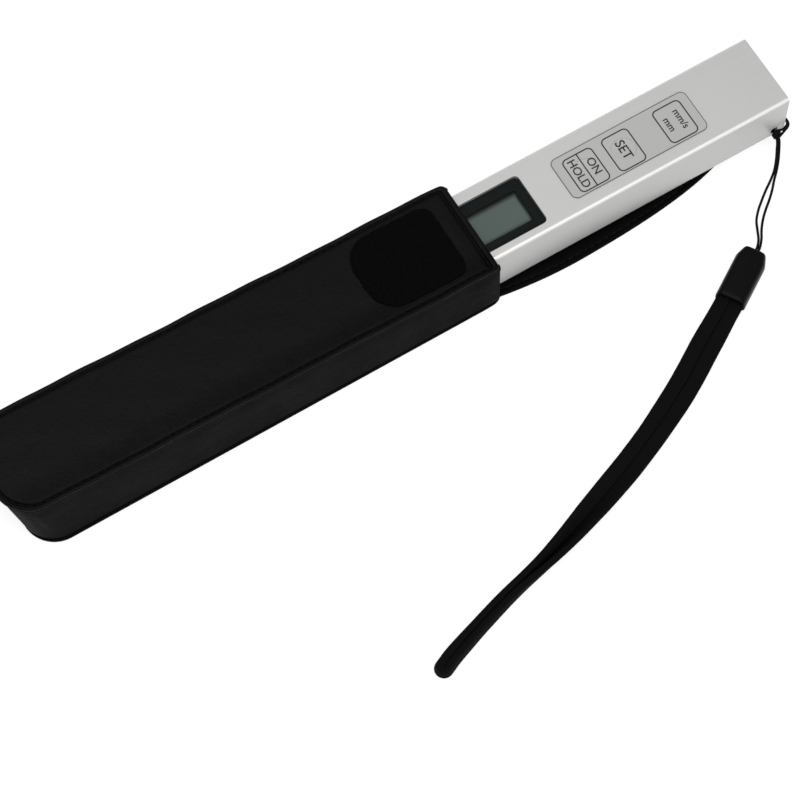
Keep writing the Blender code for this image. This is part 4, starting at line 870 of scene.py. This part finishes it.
def stitches(line, pitch, length, radius, closed):
    """Thread shows as short arched capsules spaced along a line, one a stitch, of rings of six points."""
    if closed:
        line = np.vstack([line, line[:1]])
    whole = run_of(line)[-1]
    count = int(whole / pitch)
    places = (np.arange(count) + 0.5) * whole / count
    ahead = points_at(line, places + length * 0.4)
    behind = points_at(line, places - length * 0.4)
    centre = (ahead + behind) / 2
    way = unit(ahead - behind)
    side = unit(np.cross((0.0, 0.0, 1.0), way))
    up = np.cross(way, side)
    along = np.array((-1.0, -0.86, -0.45, 0.0, 0.45, 0.86, 1.0)) * length / 2
    size = np.array((0.0, 0.75, 1.0, 1.0, 1.0, 0.75, 0.0)) * radius
    arch = radius * (1.0 - (along / (length / 2)) ** 2) * 0.9
    angle = full_turn(6)
    y = size[:, None] * np.cos(angle)
    z = arch[:, None] + size[:, None] * np.sin(angle)
    x = np.broadcast_to(along[:, None], y.shape)
    points = (
        centre[:, None, None]
        + way[:, None, None] * x[None, :, :, None]
        + side[:, None, None] * y[None, :, :, None]
        + up[:, None, None] * z[None, :, :, None]
    )
    return repeated(points)


def repeated(points):
    """Many small closed shapes of the same rings, given as count, rings, sides, 3, as one surface."""
    count, rings, sides = points.shape[:3]
    corners = grid_corners(np.arange(rings * sides).reshape(rings, sides), True)
    faces = (corners[None] + (np.arange(count) * rings * sides)[:, None, None]).reshape(-1, 4)
    return points.reshape(-1, 3), [faces], [np.zeros((len(faces), 4, 2))]


def patch_shape():
    """The patch: an outline with one round end, its cut edge a little uneven, following the front's slope."""
    def matted(x, y, share):
        tufts = 0.03 * np.sin(x / 0.0011) * np.sin(y / 0.0013) * smooth_step(share * 3)
        return field_top(x, y) + (0.68 + tufts) * MM

    def underside(x, y, share):
        return field_top(x, y) - 0.05 * MM

    low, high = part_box("loop_patch")
    middle_x = (low.x + high.x) / 2
    half = ((high.x - low.x) / 2, (high.y - low.y) / 2)
    rings = []
    for inset, height in ((0.25, -0.05), (0.0, 0.05), (0.0, 0.40), (0.12, 0.58), (0.40, 0.66), (0.9, 0.68)):
        inset = inset * MM
        line = oblong(
            (middle_x - half[0] + inset, inset - half[1]), (middle_x + half[0] - inset, half[1] - inset),
            PATCH_ROUND - inset, 3.6 * MM - inset, 90, 24, 60,
        )
        run = run_of(line)
        fray = 0.07 * MM * (np.sin(run / 0.00031) + np.sin(run / 0.00083 + 1.0)) * (inset < 0.5 * MM)
        line = line + right_of(line) * fray[:, None]
        rings.append(raised(line, field_top(*line.T) + height * MM))
    middle = middle_line(rings[-1], middle_x - 5 * MM, middle_x + 3 * MM)
    above = drawn_in(rings[-1], middle, np.linspace(0.0, 1.0, 14)[1:], matted)
    below = drawn_in(rings[0], middle, (1.0, 0.5), underside)
    return surface(np.array(below + rings + above))


def hook_tape_shape():
    """A thin plate with one round end, and rows of small bent hooks on it: rings round a stem that leans over
    towards its tip, the other way in every second row."""
    low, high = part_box("hook_patch")
    plate = []
    for inset, share in ((0.3, 0.0), (0.0, 0.1), (0.0, 0.4), (0.15, 0.5)):
        line = oblong(
            (low.x + inset * MM, low.y + inset * MM), (high.x - inset * MM, high.y - inset * MM),
            (1.5 - inset) * MM, PATCH_ROUND - inset * MM, 8, 16, 8,
        )
        plate.append(raised(line, low.z + share * (high.z - low.z)))
    base = surface(np.array(plate), ends=True)
    pitch = 0.85 * MM
    x, y = np.meshgrid(np.arange(low.x + pitch, high.x - pitch / 2, pitch),
                       np.arange(low.y + pitch, high.y - pitch / 2, pitch), indexing="ij")
    way = np.where(np.arange(x.shape[0])[:, None] % 2 == 0, 1.0, -1.0) * np.ones_like(x)
    past_x = np.clip(x - (high.x - PATCH_ROUND), 0, None)
    past_y = np.clip(np.abs(y) - (high.y - PATCH_ROUND), 0, None)
    kept = np.hypot(past_x, past_y) < 7.4 * MM
    x, y, way = x[kept], y[kept], way[kept]
    level = np.array((0.42, 0.42, 0.66, 0.86, 1.0, 1.0))
    radius = np.array((0.0, 0.15, 0.11, 0.10, 0.09, 0.0)) * MM
    lean = np.array((0.0, 0.0, 0.01, 0.06, 0.20, 0.20)) * MM
    angle = full_turn(6)
    ring_x = lean[:, None] + radius[:, None] * np.cos(angle)
    ring_y = radius[:, None] * np.sin(angle)
    points = np.stack([
        x[:, None, None] + way[:, None, None] * ring_x[None],
        y[:, None, None] + ring_y[None] + 0 * x[:, None, None],
        np.broadcast_to((low.z + level * (high.z - low.z))[None, :, None], (len(x), 6, 6)),
    ], axis=-1)
    return together([base, repeated(points)])


class SheathOperator(bpy.types.Operator):
    """Back panel with its flap, side band and front panel"""
    bl_idname = "meter.sheath"
    bl_label = "Sheath"

    def execute(self, context):
        # The wall is a lighter copy of the leatherette: painted light.
        leather = leather_finish("black_leatherette_side_painted_light", tone=1.1, level=0.006)
        lining = leather_finish("black_lining", tone=0.35)
        make_piece("sheath_back", back_shape(), "sheath", lining, ("back_panel",), 60)
        make_piece("sheath_band", band_shape(), "sheath", leather, ("side_band",), 70)
        # The front is a darker copy of the leatherette, painted shade, and darker still along its near edge,
        # also painted shade.
        field = leather_finish("black_leatherette_front_painted_shade", tone=0.50, level=0.07, near_edge_painted_shade=0.42)
        make_piece("sheath_front", front_shape(), "sheath", field, ("front_panel",), 70)
        return {"FINISHED"}


class SeamOperator(bpy.types.Operator):
    """Thread in the grooves of the front panel and the flap"""
    bl_idname = "meter.seams"
    bl_label = "Seams"

    def execute(self, context):
        values = context.scene.leather_values
        radius = 0.17 * MM
        groove_inset, groove_floor = 1.38 * MM, 0.34 * MM
        groove = front_outline(groove_inset)
        front = sway(raised(groove, FRONT_UNDERSIDE + rise(groove[:, 0]) + groove_floor))
        flap_inset, flap_floor = 1.5 * MM, 1.16 * MM
        edge = back_outline(flap_inset)
        flap = raised(edge[edge[:, 0] > MOUTH_X + 2.5 * MM], flap_floor)
        shape = together([
            stitches(line, values.stitch, values.stitch * 0.74, radius, closed)
            for line, closed in ((front, True), (flap, False))
        ])
        color = values.color
        thread = Finish("black_thread", shaded(color, 0.7), 0.7, Specular_IOR_Level=0.12)
        twist = thread.noise(0.0002)
        thread.tint(twist, color, 0.4, 1.0)
        thread.bump(twist, 0.00003)
        make_piece("seam_thread", shape, "sheath", thread)
        return {"FINISHED"}


class PatchOperator(bpy.types.Operator):
    """The closure's loop patch on the front and hook patch on the flap"""
    bl_idname = "meter.patches"
    bl_label = "Closure patches"

    def execute(self, context):
        pile = pile_finish()
        make_piece("loop_pile_patch", patch_shape(), "sheath", pile, ("loop_patch",), 80)
        hooks = hook_finish()
        tape = make_piece(
            "hook_tape_patch", hook_tape_shape(), "sheath", hooks, ("hook_patch",), 50)
        outline = back_outline(0.0)
        return {"FINISHED"}


# Meter

class CasingOperator(bpy.types.Operator):
    """Tube, end cap with its screws, nose cap and probe"""
    bl_idname = "meter.casing"
    bl_label = "Casing"

    def execute(self, context):
        black = moulded_finish()
        steel = turned_finish("turned_steel", (0.56, 0.56, 0.56))
        skin(aluminium_finish(), "satin_aluminium", "housing", sharp=50)
        skin(black, "black_plastic", "end_cap", "nose_cap")
        skin(steel, "steel", "near_cap_screw", "far_cap_screw", "probe_tip", "probe_lock_nut")
        return {"FINISHED"}


class InsideOperator(bpy.types.Operator):
    """Battery, circuit board, switches and sensor"""
    bl_idname = "meter.inside"
    bl_label = "Inside"

    def execute(self, context):
        steel = turned_finish("bright_steel", (0.62, 0.62, 0.61), 0.25)
        brass = turned_finish("turned_brass", (0.70, 0.52, 0.22), 0.32)
        pale = (0.55, 0.53, 0.48)
        ceramic = speckled_finish("fired_ceramic", pale, 0.6, (0.0003, 4.0, 0.7), 0.85, 1.1, 0.00001)
        black = moulded_finish("moulded_black_holder", (0.014, 0.014, 0.015), 0.5)
        skin(steel, "steel", "sensor_base", "preload_screw", "battery_contact", "battery_spring",
             "button_cell_1", "button_cell_2", "button_cell_3")
        skin(brass, "brass", "seismic_mass", "electrode_plate")
        skin(ceramic, "piezo_ceramic", "piezo_disc_1", "piezo_disc_2")
        skin(black, "black_plastic", "battery_holder")
        dress_nodes(board_finish(), "circuit_board")
        dress_nodes(black, "on_switch", "mode_switch")
        return {"FINISHED"}


class DisplayOperator(bpy.types.Operator):
    """Window pane, gasket, liquid-crystal cell, holder and contact strips"""
    bl_idname = "meter.display"
    bl_label = "Display"

    def execute(self, context):
        dress_nodes(pane_finish(), "display_window")
        low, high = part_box("window_gasket")
        near_corner, far_corner, corner_radius = (12.4 * MM, -5.40 * MM), (41.05 * MM, 4.35 * MM), 0.6 * MM
        opening = oblong(near_corner, far_corner, corner_radius, corner_radius, 3, 5, 3)
        rim = oblong((low.x, low.y), (high.x, high.y), 1.3 * MM, 1.3 * MM, 3, 7, 3)
        gasket = moulded_finish("black_gasket", (0.0100, 0.0130, 0.0125), 0.5, 0.1)
        sheet = flat_mesh("gasket_sheet", [rim, opening], low.z, high.z)
        dress_mesh("gasket_sheet", sheet, "meter", gasket, ("window_gasket",))
        dress_nodes(display_finish(), "display_glass")
        dress_nodes(moulded_finish("black_display_holder", (0.014, 0.014, 0.015), 0.5), "display_holder")
        dress_nodes(stripe_finish(), "near_contact_strip", "far_contact_strip")
        return {"FINISHED"}


def flat_mesh(name, outlines, bottom, top):
    """A flat plate of one outline with holes, as a mesh."""
    curve = bpy.data.curves.new(name, "CURVE")
    curve.dimensions = "2D"
    curve.fill_mode = "BOTH"
    curve.extrude = (top - bottom) / 2 / MM
    for outline in outlines:
        spline = curve.splines.new("POLY")
        spline.points.add(len(outline) - 1)
        flat = np.column_stack([outline / MM, np.zeros(len(outline)), np.ones(len(outline))])
        spline.points.foreach_set("co", flat.reshape(-1).astype(np.float32))
        spline.use_cyclic_u = True
    return settled(name, curve, Matrix.Translation((0.0, 0.0, (bottom + top) / 2)))


def settled(name, curve, place):
    """A curve or text drawn in millimetres as a mesh in metres, moved to its place."""
    holder = placed(name, curve)
    graph = bpy.context.evaluated_depsgraph_get()
    mesh = bpy.data.meshes.new_from_object(holder.evaluated_get(graph), depsgraph=graph)
    bpy.data.objects.remove(holder)
    bpy.data.curves.remove(curve)
    mesh.transform(place @ Matrix.Scale(MM, 4))
    return mesh


def ring_line(x, y, radius, count=72):
    angle = full_turn(count)
    return np.column_stack([x + radius * np.cos(angle), y + radius * np.sin(angle)])


def box_outlines(low, high, radius, line):
    """A printed box: a round-cornered outline and the same set in by the line's width."""
    inner_low = (low[0] + line, low[1] + line)
    inner_high = (high[0] - line, high[1] - line)
    return [
        oblong(low, high, radius, radius, 3, 9, 3),
        oblong(inner_low, inner_high, radius - line, radius - line, 3, 9, 3),
    ]


def letters(word, x, y, height, thickness):
    """A word that reads from the far side to the near side, letter tops towards the strap end."""
    text = bpy.data.curves.new(word, "FONT")
    text.body = word
    text.align_x = "CENTER"
    text.align_y = "CENTER"
    text.size = height / 0.70 / MM
    text.extrude = thickness / 2 / MM
    text.offset = 0.035
    text.resolution_u = 4
    turn = Matrix.Rotation(math.radians(-90), 4, "Z")
    return settled(word, text, Matrix.Translation((x, y, FILM_TOP + thickness / 2)) @ turn)


def joined(meshes):
    """Several meshes as one bmesh without doubles, faces outward."""
    whole = bmesh.new()
    for mesh in meshes:
        whole.from_mesh(mesh)
    bmesh.ops.remove_doubles(whole, verts=whole.verts, dist=1e-6)
    bmesh.ops.recalc_face_normals(whole, faces=whole.faces)
    return whole


def parted(name, meshes, circles, inside):
    """The meshes as one, cut along many-sided rings round the given centres; what lies inside or outside them
    is kept and its cut ends are closed."""
    whole = joined(meshes)
    ways = full_turn(48)
    for x, y in circles:
        for way in ways:
            normal = Vector((math.cos(way), math.sin(way), 0.0))
            bmesh.ops.bisect_plane(
                whole, geom=whole.verts[:] + whole.edges[:] + whole.faces[:], dist=1e-9,
                plane_co=Vector((x, y, 0.0)) + normal * KEY_RADIUS, plane_no=normal,
            )
    unwanted = [
        face for face in whole.faces
        if any(math.dist(face.calc_center_median()[:2], circle) < KEY_RADIUS for circle in circles) != inside
    ]
    bmesh.ops.delete(whole, geom=unwanted, context="FACES")
    bmesh.ops.holes_fill(whole, edges=[edge for edge in whole.edges if edge.is_boundary], sides=0)
    mesh = bpy.data.meshes.new(name)
    whole.to_mesh(mesh)
    whole.free()
    return mesh


DIVIDER_X = 60.1 * MM
PRINTED_BOXES = (  # x and y of the near and of the far corner, in millimetres
    ("on_box", 55.3, -6.5, 64.6, 4.5),
    ("mode_box", 67.4, -6.6, 75.8, 4.5),
    ("unit_box", 83.5, -6.5, 92.2, 4.6),
)
PRINTED_WORDS = (  # x and y of the middle in millimetres, and size; the first two lie on no key
    ("mm/s", 89.6, -0.95, 0.85),
    ("mm", 86.0, -0.95, 0.85),
    ("ON", 62.35, -1.0, 1.0),
    ("HOLD", 57.65, -1.0, 1.0),
    ("SET", 71.6, -1.05, 1.15),
)


KEY_PROFILE = (  # distance from the key's axis, and height over the film, in millimetres
    (0.0, 0.0), (2.98, 0.0), (3.06, 0.014), (3.14, 0.034), (3.20, 0.038), (3.26, 0.034), (3.34, 0.012),
    (3.40, -0.02), (3.40, -0.55), (1.6, -0.55),
)


class KeypadOperator(bpy.types.Operator):
    """Keypad film, the two keys and the print on them"""
    bl_idname = "meter.keypad"
    bl_label = "Keypad"

    def execute(self, context):
        values = context.scene.face_values
        film = film_finish()
        ink = speckled_finish(
            "print_ink", values.ink, 0.5, (0.00025, 2.0, 0.6), 0.8, 1.5, 0.000003, Specular_IOR_Level=0.3)
        low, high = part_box("keypad_film")
        outline = oblong((low.x, low.y), (high.x, high.y), 1.8 * MM, 1.8 * MM, 3, 9, 3)
        keys = {"on_key": ON_KEY_X, "mode_key": MODE_KEY_X}
        holes = [ring_line(x, KEY_Y, KEY_RADIUS + 0.02 * MM) for x in keys.values()]
        sheet = flat_mesh("keypad_sheet", [outline, *holes], low.z, FILM_TOP)
        dress_mesh("keypad_sheet", sheet, "meter", film, ("keypad_film",), 40, 1e-6)
        for node, x in keys.items():
            bottom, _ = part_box(node)
            stem = (bottom.z - FILM_TOP) / MM
            profile = np.array((*KEY_PROFILE, (1.6, stem), (0.0, stem))) * MM + (0.0, FILM_TOP)
            angle = full_turn(72)
            points = np.stack([
                x + profile[:, :1] * np.cos(angle),
                KEY_Y + profile[:, :1] * np.sin(angle),
                np.broadcast_to(profile[:, 1:], (len(profile), 72)),
            ], axis=2)
            make_piece(f"{node}_cap", surface(points), node, film, (node,), 30)
        self.print_marks(values, ink, keys, (low, high))
        return {"FINISHED"}

    def print_marks(self, values, ink, keys, film_box):
        line = values.line
        thick = 0.05 * MM
        top = FILM_TOP + thick
        size = values.letter
        low, high = film_box
        rim = box_outlines((low.x - 0.02 * MM, low.y - 0.02 * MM), (high.x + 0.02 * MM, high.y + 0.02 * MM),
                           1.82 * MM, 0.14 * MM)
        whole = [flat_mesh("film_rim", rim, FILM_TOP, top)]
        for name, x0, y0, x1, y1 in PRINTED_BOXES:
            outlines = box_outlines((x0 * MM, y0 * MM), (x1 * MM, y1 * MM), 1.5 * MM, line)
            whole.append(flat_mesh(name, outlines, FILM_TOP, top))
        words = [letters(word, x * MM, y * MM, size * share, thick) for word, x, y, share in PRINTED_WORDS]
        whole += words[:2]
        bar = oblong((DIVIDER_X - line / 2, -6.3 * MM), (DIVIDER_X + line / 2, 4.3 * MM),
                     line * 0.2, line * 0.2, 3, 3, 3)
        crossing = [flat_mesh("on_hold_line", [bar], FILM_TOP, top), *words[2:]]
        circles = [(x, KEY_Y) for x in keys.values()]
        whole.append(parted("film_print", crossing, circles, False))
        data = bpy.data.meshes.new("film_print")
        shape = joined(whole)
        shape.to_mesh(data)
        shape.free()
        dress_mesh("film_print", data, "meter", ink)
        for node, circle in zip(keys, circles):
            part = parted(f"{node}_print", crossing, [circle], True)
            dress_mesh(f"{node}_print", part, node, ink)


# Wrist strap

def cord_path():
    """One cord: from the clasp up the left leg, twice through the tube's corner with its bight round both
    legs, and down the right leg to the clasp."""
    corner = np.array(CORNER_RUN)
    sideways, upwards = 0.20, 0.25
    aside = np.cross(unit(np.gradient(corner, axis=0)), (0.0, 0.0, 1.0)) * sideways + (0.0, 0.0, upwards)
    upper = corner + aside
    lower = (corner - aside)[::-1]
    bight_x, bight_z, bight_radius, stations = -3.4, 2.9, 1.0, 22
    angle = np.radians(np.linspace(25, 695, stations))
    bight = np.column_stack([
        bight_x + bight_radius * np.cos(angle),
        np.linspace(-11.75, -12.95, stations),
        bight_z + bight_radius * np.sin(angle),
    ])
    route = np.vstack([
        LEFT_LEG[::-1],
        (-3.80, -12.90, 2.90),
        (-3.85, -12.00, 3.20),
        upper,
        (-1.20, -12.00, 3.30),
        bight,
        (-1.20, -12.50, 2.72),
        lower,
        (-3.30, -12.00, 2.72),
        (-3.20, -12.90, 2.75),
        RIGHT_LEG,
    ])
    return smooth_route(route * MM + METER, 420)


def section_reach(width_part, thickness_part):
    """How far the webbing's section |u|^p + |v|^p = 1 reaches along a way with these parts of its width and
    thickness: the dual norm, whose power is p / (p - 1)."""
    dual = WEB_POWER / (WEB_POWER - 1)
    wide = np.abs(WEB_HALF_WIDTH * width_part) ** dual
    thick = np.abs(WEB_HALF_THICKNESS * thickness_part) ** dual
    return (wide + thick) ** (1 / dual)


def strap_path(count):
    """Centres, width ways, thickness ways, spread and swell: out along the near run, round the fold and back
    along the far run. The webbing spreads once it has left the clasp and swells towards its fold, where its
    layers bulge."""
    inside = np.array((math.cos(CLASP_HEADING), math.sin(CLASP_HEADING))) * 1.4 + STRAP_RUN[0]
    middle = smooth_route(np.vstack([inside, STRAP_RUN]) * MM + METER[:2], count)
    way = unit(np.gradient(middle, axis=0))
    fold_share = 1 - FOLD_RADIUS / run_of(middle)[-1]
    share = np.linspace(0.0, 1.0, count) * fold_share
    parts_at = 0.87
    turn = WEB_TILT * eased(share, 0.33, parts_at)
    wide = 1 + 0.07 * eased(share, 0.02, 0.12) - 0.06 * eased(share, 0.22, 0.38)
    spread = eased(share, parts_at, fold_share)
    swell = 1 + 0.20 * eased(share, 0.45, 0.70) + 0.24 * spread
    reach = section_reach(np.cos(turn) * wide, np.sin(turn) * swell)
    height = section_reach(np.sin(turn) * wide, np.cos(turn) * swell)
    offset = (reach - 0.06 * MM) * (1 - spread) + FOLD_RADIUS * spread
    up = np.array((0.0, 0.0, 1.0))
    floor_gap = 0.1 * MM
    lift = floor_gap + 1.5 * MM * (1 - eased(run_of(middle), 1.0 * MM, 15.0 * MM))
    runs = []
    for side in (1, -1):
        across = raised(np.column_stack([-way[:, 1], way[:, 0]]), 0.0) * side
        centre = raised(middle, height + lift) + across * offset[:, None]
        width_way = across * np.cos(turn)[:, None] + up * np.sin(turn)[:, None]
        travel = raised(way, 0.0) * side
        runs.append((centre, width_way, np.cross(travel, width_way)))
    heading = np.append(way[-1], 0.0)
    across = np.array((-heading[1], heading[0], 0.0))
    angle = (np.pi * np.arange(1, 16) / 16)[:, None]
    centre = np.append(middle[-1], height[-1] + floor_gap)
    out = across * np.cos(angle) + heading * np.sin(angle)
    bend_travel = heading * np.cos(angle) - across * np.sin(angle)
    lean = out * math.cos(WEB_TILT) + up * math.sin(WEB_TILT)
    fold = (centre + out * FOLD_RADIUS, lean, np.cross(bend_travel, lean))
    sizes = [np.concatenate([size, np.full(15, size[-1]), size[::-1]]) for size in (wide, swell)]
    return [np.vstack([runs[0][i], fold[i], runs[1][i][::-1]]) for i in range(3)] + sizes


def strap_shape(stations):
    """A flat section with round corners, |u|^p + |v|^p = 1, carried along the stations."""
    centre, width_way, thick_way, wide, swell = stations
    angle = full_turn(36)
    power = 2 / WEB_POWER
    u = np.sign(np.cos(angle)) * np.abs(np.cos(angle)) ** power
    v = np.sign(np.sin(angle)) * np.abs(np.sin(angle)) ** power
    v = v * (1 - 0.10 * (1 - np.abs(u) ** 2))
    run = run_of(centre)
    edge = 1 - 0.008 * (1 + np.sin(run / 0.0019)) - 0.004 * (1 + np.sin(run / 0.0007))
    edge = np.where(u[None, :] > 0, edge[:, None], 1.0) * wide[:, None]
    points = (
        centre[:, None]
        + width_way[:, None] * (u[None, :] * edge)[:, :, None] * WEB_HALF_WIDTH
        + thick_way[:, None] * (v[None, :] * swell[:, None])[:, :, None] * WEB_HALF_THICKNESS
    )
    around = np.concatenate([[0.0], np.cumsum(np.hypot(
        np.diff(np.append(u, u[0])) * WEB_HALF_WIDTH, np.diff(np.append(v, v[0])) * WEB_HALF_THICKNESS))])
    return surface(points, run=run, across=around, ends=True)


CLASP_SECTIONS = (  # way along, half width, half height and corner radius, in millimetres
    (1.60, 3.75, 1.75, 0.50), (0.12, 3.80, 1.80, 0.50), (0.00, 3.90, 1.92, 0.60),
    (0.03, 4.08, 2.24, 0.95), (0.16, 4.20, 2.40, 1.15), (0.45, 4.25, 2.50, 1.30),
    (1.40, 4.25, 2.50, 1.40), (11.0, 4.25, 2.50, 1.40), (13.1, 4.25, 2.50, 1.40),
    (13.4, 4.17, 2.48, 1.40), (14.6, 3.76, 2.40, 1.30), (15.7, 3.36, 2.30, 1.10),
    (16.0, 3.22, 2.14, 1.05), (16.2, 2.90, 1.84, 1.00), (16.27, 1.90, 1.40, 0.90),
    (16.27, 0.90, 0.85, 0.60), (15.10, 0.75, 0.70, 0.55),
)


def clasp_shape():
    """A moulded block: rounded sections from a recessed mouth, past a lip, to sloping shoulders at its
    nose."""
    rings = []
    for along, width, height, radius in np.array(CLASP_SECTIONS) * MM:
        line = oblong((-width, -height), (width, height), radius, radius, 8, 10, 6)
        line[:, 0] *= 1 - CLASP_DRAFT * np.clip(line[:, 1] / height, 0.0, 1.0)
        rings.append(np.column_stack([np.full(len(line), along), line]))
    cos, sin = math.cos(CLASP_HEADING), math.sin(CLASP_HEADING)
    along, across, z = np.moveaxis(np.array(rings), -1, 0)
    turned = np.stack([
        CLASP_MOUTH[0] + along * cos - across * sin,
        CLASP_MOUTH[1] + along * sin + across * cos,
        z + 2.8 * MM,
    ], axis=-1)
    return surface(turned, ends=True)


class StrapOperator(bpy.types.Operator):
    """Clasp, thin cord and webbing"""
    bl_idname = "meter.strap"
    bl_label = "Wrist strap"

    def execute(self, context):
        values = context.scene.strap_values
        smooth = moulded_finish("clasp_plastic", (0.0042, 0.0042, 0.0046), 0.28, 0.05)
        clasp = make_piece(
            "clasp_block", clasp_shape(), "meter", smooth, ("strap_clasp",), 38)
        path = cord_path()
        braid = braid_finish("braided_cord", values.cord, 0.0007, 3)
        solids = ("strap_loop", "strap_knot", "left_cord", "right_cord")
        tube = tube_shape(path, CORD_RADIUS)
        cord = make_piece("thin_cord", tube, "meter", braid, solids, 60)
        stations = strap_path(values.stations)
        weave = webbing_finish()
        strap = make_piece(
            "woven_strap", strap_shape(stations), "meter", weave, ("wrist_strap",), 60)
        return {"FINISHED"}


# Stage

class StageOperator(bpy.types.Operator):
    """Floor, light and camera"""
    bl_idname = "meter.stage"
    bl_label = "Stage"

    def execute(self, context):
        values = context.scene.stage_values
        self.make_floor(values)
        self.make_light(values)
        self.make_camera()
        context.scene.view_settings.view_transform = "Standard"
        return {"FINISHED"}

    def make_floor(self, values):
        mesh = bpy.data.meshes.new("floor")
        reach = 4.0
        z = -0.15 * MM
        corners = [(x * reach, y * reach, z) for x, y in ((-1, -1), (1, -1), (1, 1), (-1, 1))]
        mesh.from_pydata(corners, [], [(0, 1, 2, 3)])
        floor = placed("floor", mesh)
        finish = Finish("pale_floor", values.floor, 0.9, Specular_IOR_Level=0.0)
        bright = finish.node("ShaderNodeEmission", None, {"Color": (1.0, 1.0, 1.0, 1.0), "Strength": 0.80})
        veil = finish.node("ShaderNodeBsdfDiffuse", None, {"Color": (0.30, 0.30, 0.30, 1.0)})
        shown = finish.node("ShaderNodeAddShader", None, {0: bright, 1: veil})
        names = ("Is Camera Ray", "Is Glossy Ray", "Is Transmission Ray")
        rays = [finish.node("ShaderNodeLightPath", output=name) for name in names]
        seen = finish.math("MAXIMUM", finish.math("MAXIMUM", rays[0], rays[1]), rays[2])
        plain = Socket(finish, finish.shader.outputs[0])
        mixed = finish.node("ShaderNodeMixShader", None, {0: seen, 1: plain, 2: shown})
        finish.tree.links.new(mixed.socket, finish.tree.nodes["Material Output"].inputs["Surface"])
        mesh.materials.append(finish.material)

    def make_light(self, values):
        world = bpy.data.worlds.new("studio")
        bpy.context.scene.world = world
        world.use_nodes = True
        tree = world.node_tree
        tree.nodes.clear()
        output = tree.nodes.new("ShaderNodeOutputWorld")
        mixed = tree.nodes.new("ShaderNodeMixShader")
        path = tree.nodes.new("ShaderNodeLightPath")
        tree.links.new(path.outputs["Is Camera Ray"], mixed.inputs[0])
        for entry, strength in ((1, values.sky), (2, 1.0)):
            background = tree.nodes.new("ShaderNodeBackground")
            background.inputs["Color"].default_value = (1.0, 1.0, 1.0, 1.0)
            background.inputs["Strength"].default_value = strength
            tree.links.new(background.outputs[0], mixed.inputs[entry])
        tree.links.new(mixed.outputs[0], output.inputs["Surface"])
        aim = Vector((0.0, -0.02, 0.0))
        for name, place, width, depth, power in (
            ("upper_lamp", (-0.14, 0.10, 1.15), 0.8, 0.8, values.lamp),
            ("near_lamp", (0.08, -0.80, 0.80), 0.7, 0.35, values.lamp * 0.95),
        ):
            lamp = bpy.data.lights.new(name, "AREA")
            lamp.shape = "RECTANGLE"
            lamp.size = width
            lamp.size_y = depth
            lamp.energy = power
            holder = placed(name, lamp)
            holder.location = place
            holder.rotation_euler = (aim - Vector(place)).to_track_quat("-Z", "Y").to_euler()

    def make_camera(self):
        azimuth, elevation = math.radians(-31.057), math.radians(66.1146)
        target = Vector((-12.148, -25.886, 2.5)) * MM
        distance = 0.85905
        back = Vector((
            math.sin(azimuth) * math.cos(elevation),
            -math.cos(azimuth) * math.cos(elevation),
            math.sin(elevation),
        ))
        right = Vector((math.cos(azimuth), math.sin(azimuth), 0.0))
        up = back.cross(right)
        data = bpy.data.cameras.new("camera")
        data.sensor_width = 36.0
        data.lens = 148.5
        data.clip_start = 0.01
        camera = placed("camera", data)
        turn = Matrix((right, up, back)).transposed().to_4x4()
        camera.matrix_world = Matrix.Translation(target + back * distance) @ turn
        bpy.context.scene.camera = camera


class MeterPanel(bpy.types.Panel):
    """Buttons that make the meter's pieces"""
    bl_idname = "VIEW3D_PT_vibration_meter"
    bl_label = "Vibration meter"
    bl_space_type = "VIEW_3D"
    bl_region_type = "UI"
    bl_category = "Vibration meter"

    def draw(self, context):
        layout = self.layout
        for name in SETTINGS:
            group = getattr(context.scene, name)
            box = layout.box()
            for key in group.__annotations__:
                box.prop(group, key)
        for operator in OPERATORS:
            layout.operator(operator.bl_idname)


SETTINGS = {
    "leather_values": LeatherSettings,
    "metal_values": MetalSettings,
    "face_values": FaceSettings,
    "strap_values": StrapSettings,
    "stage_values": StageSettings,
}
OPERATORS = (
    SheathOperator,
    SeamOperator,
    PatchOperator,
    CasingOperator,
    InsideOperator,
    DisplayOperator,
    KeypadOperator,
    StrapOperator,
    StageOperator,
)


def register():
    for group in SETTINGS.values():
        bpy.utils.register_class(group)
    for operator in OPERATORS:
        bpy.utils.register_class(operator)
    bpy.utils.register_class(MeterPanel)
    for name, group in SETTINGS.items():
        setattr(bpy.types.Scene, name, PointerProperty(type=group))


def unregister():
    for name in SETTINGS:
        delattr(bpy.types.Scene, name)
    bpy.utils.unregister_class(MeterPanel)
    for operator in reversed(OPERATORS):
        bpy.utils.unregister_class(operator)
    for group in SETTINGS.values():
        bpy.utils.unregister_class(group)


def main():
    register()
    bpy.ops.meter.sheath()
    bpy.ops.meter.seams()
    bpy.ops.meter.patches()
    bpy.ops.meter.casing()
    bpy.ops.meter.inside()
    bpy.ops.meter.display()
    bpy.ops.meter.keypad()
    bpy.ops.meter.strap()
    bpy.ops.meter.stage()


if __name__ == "__main__":
    main()
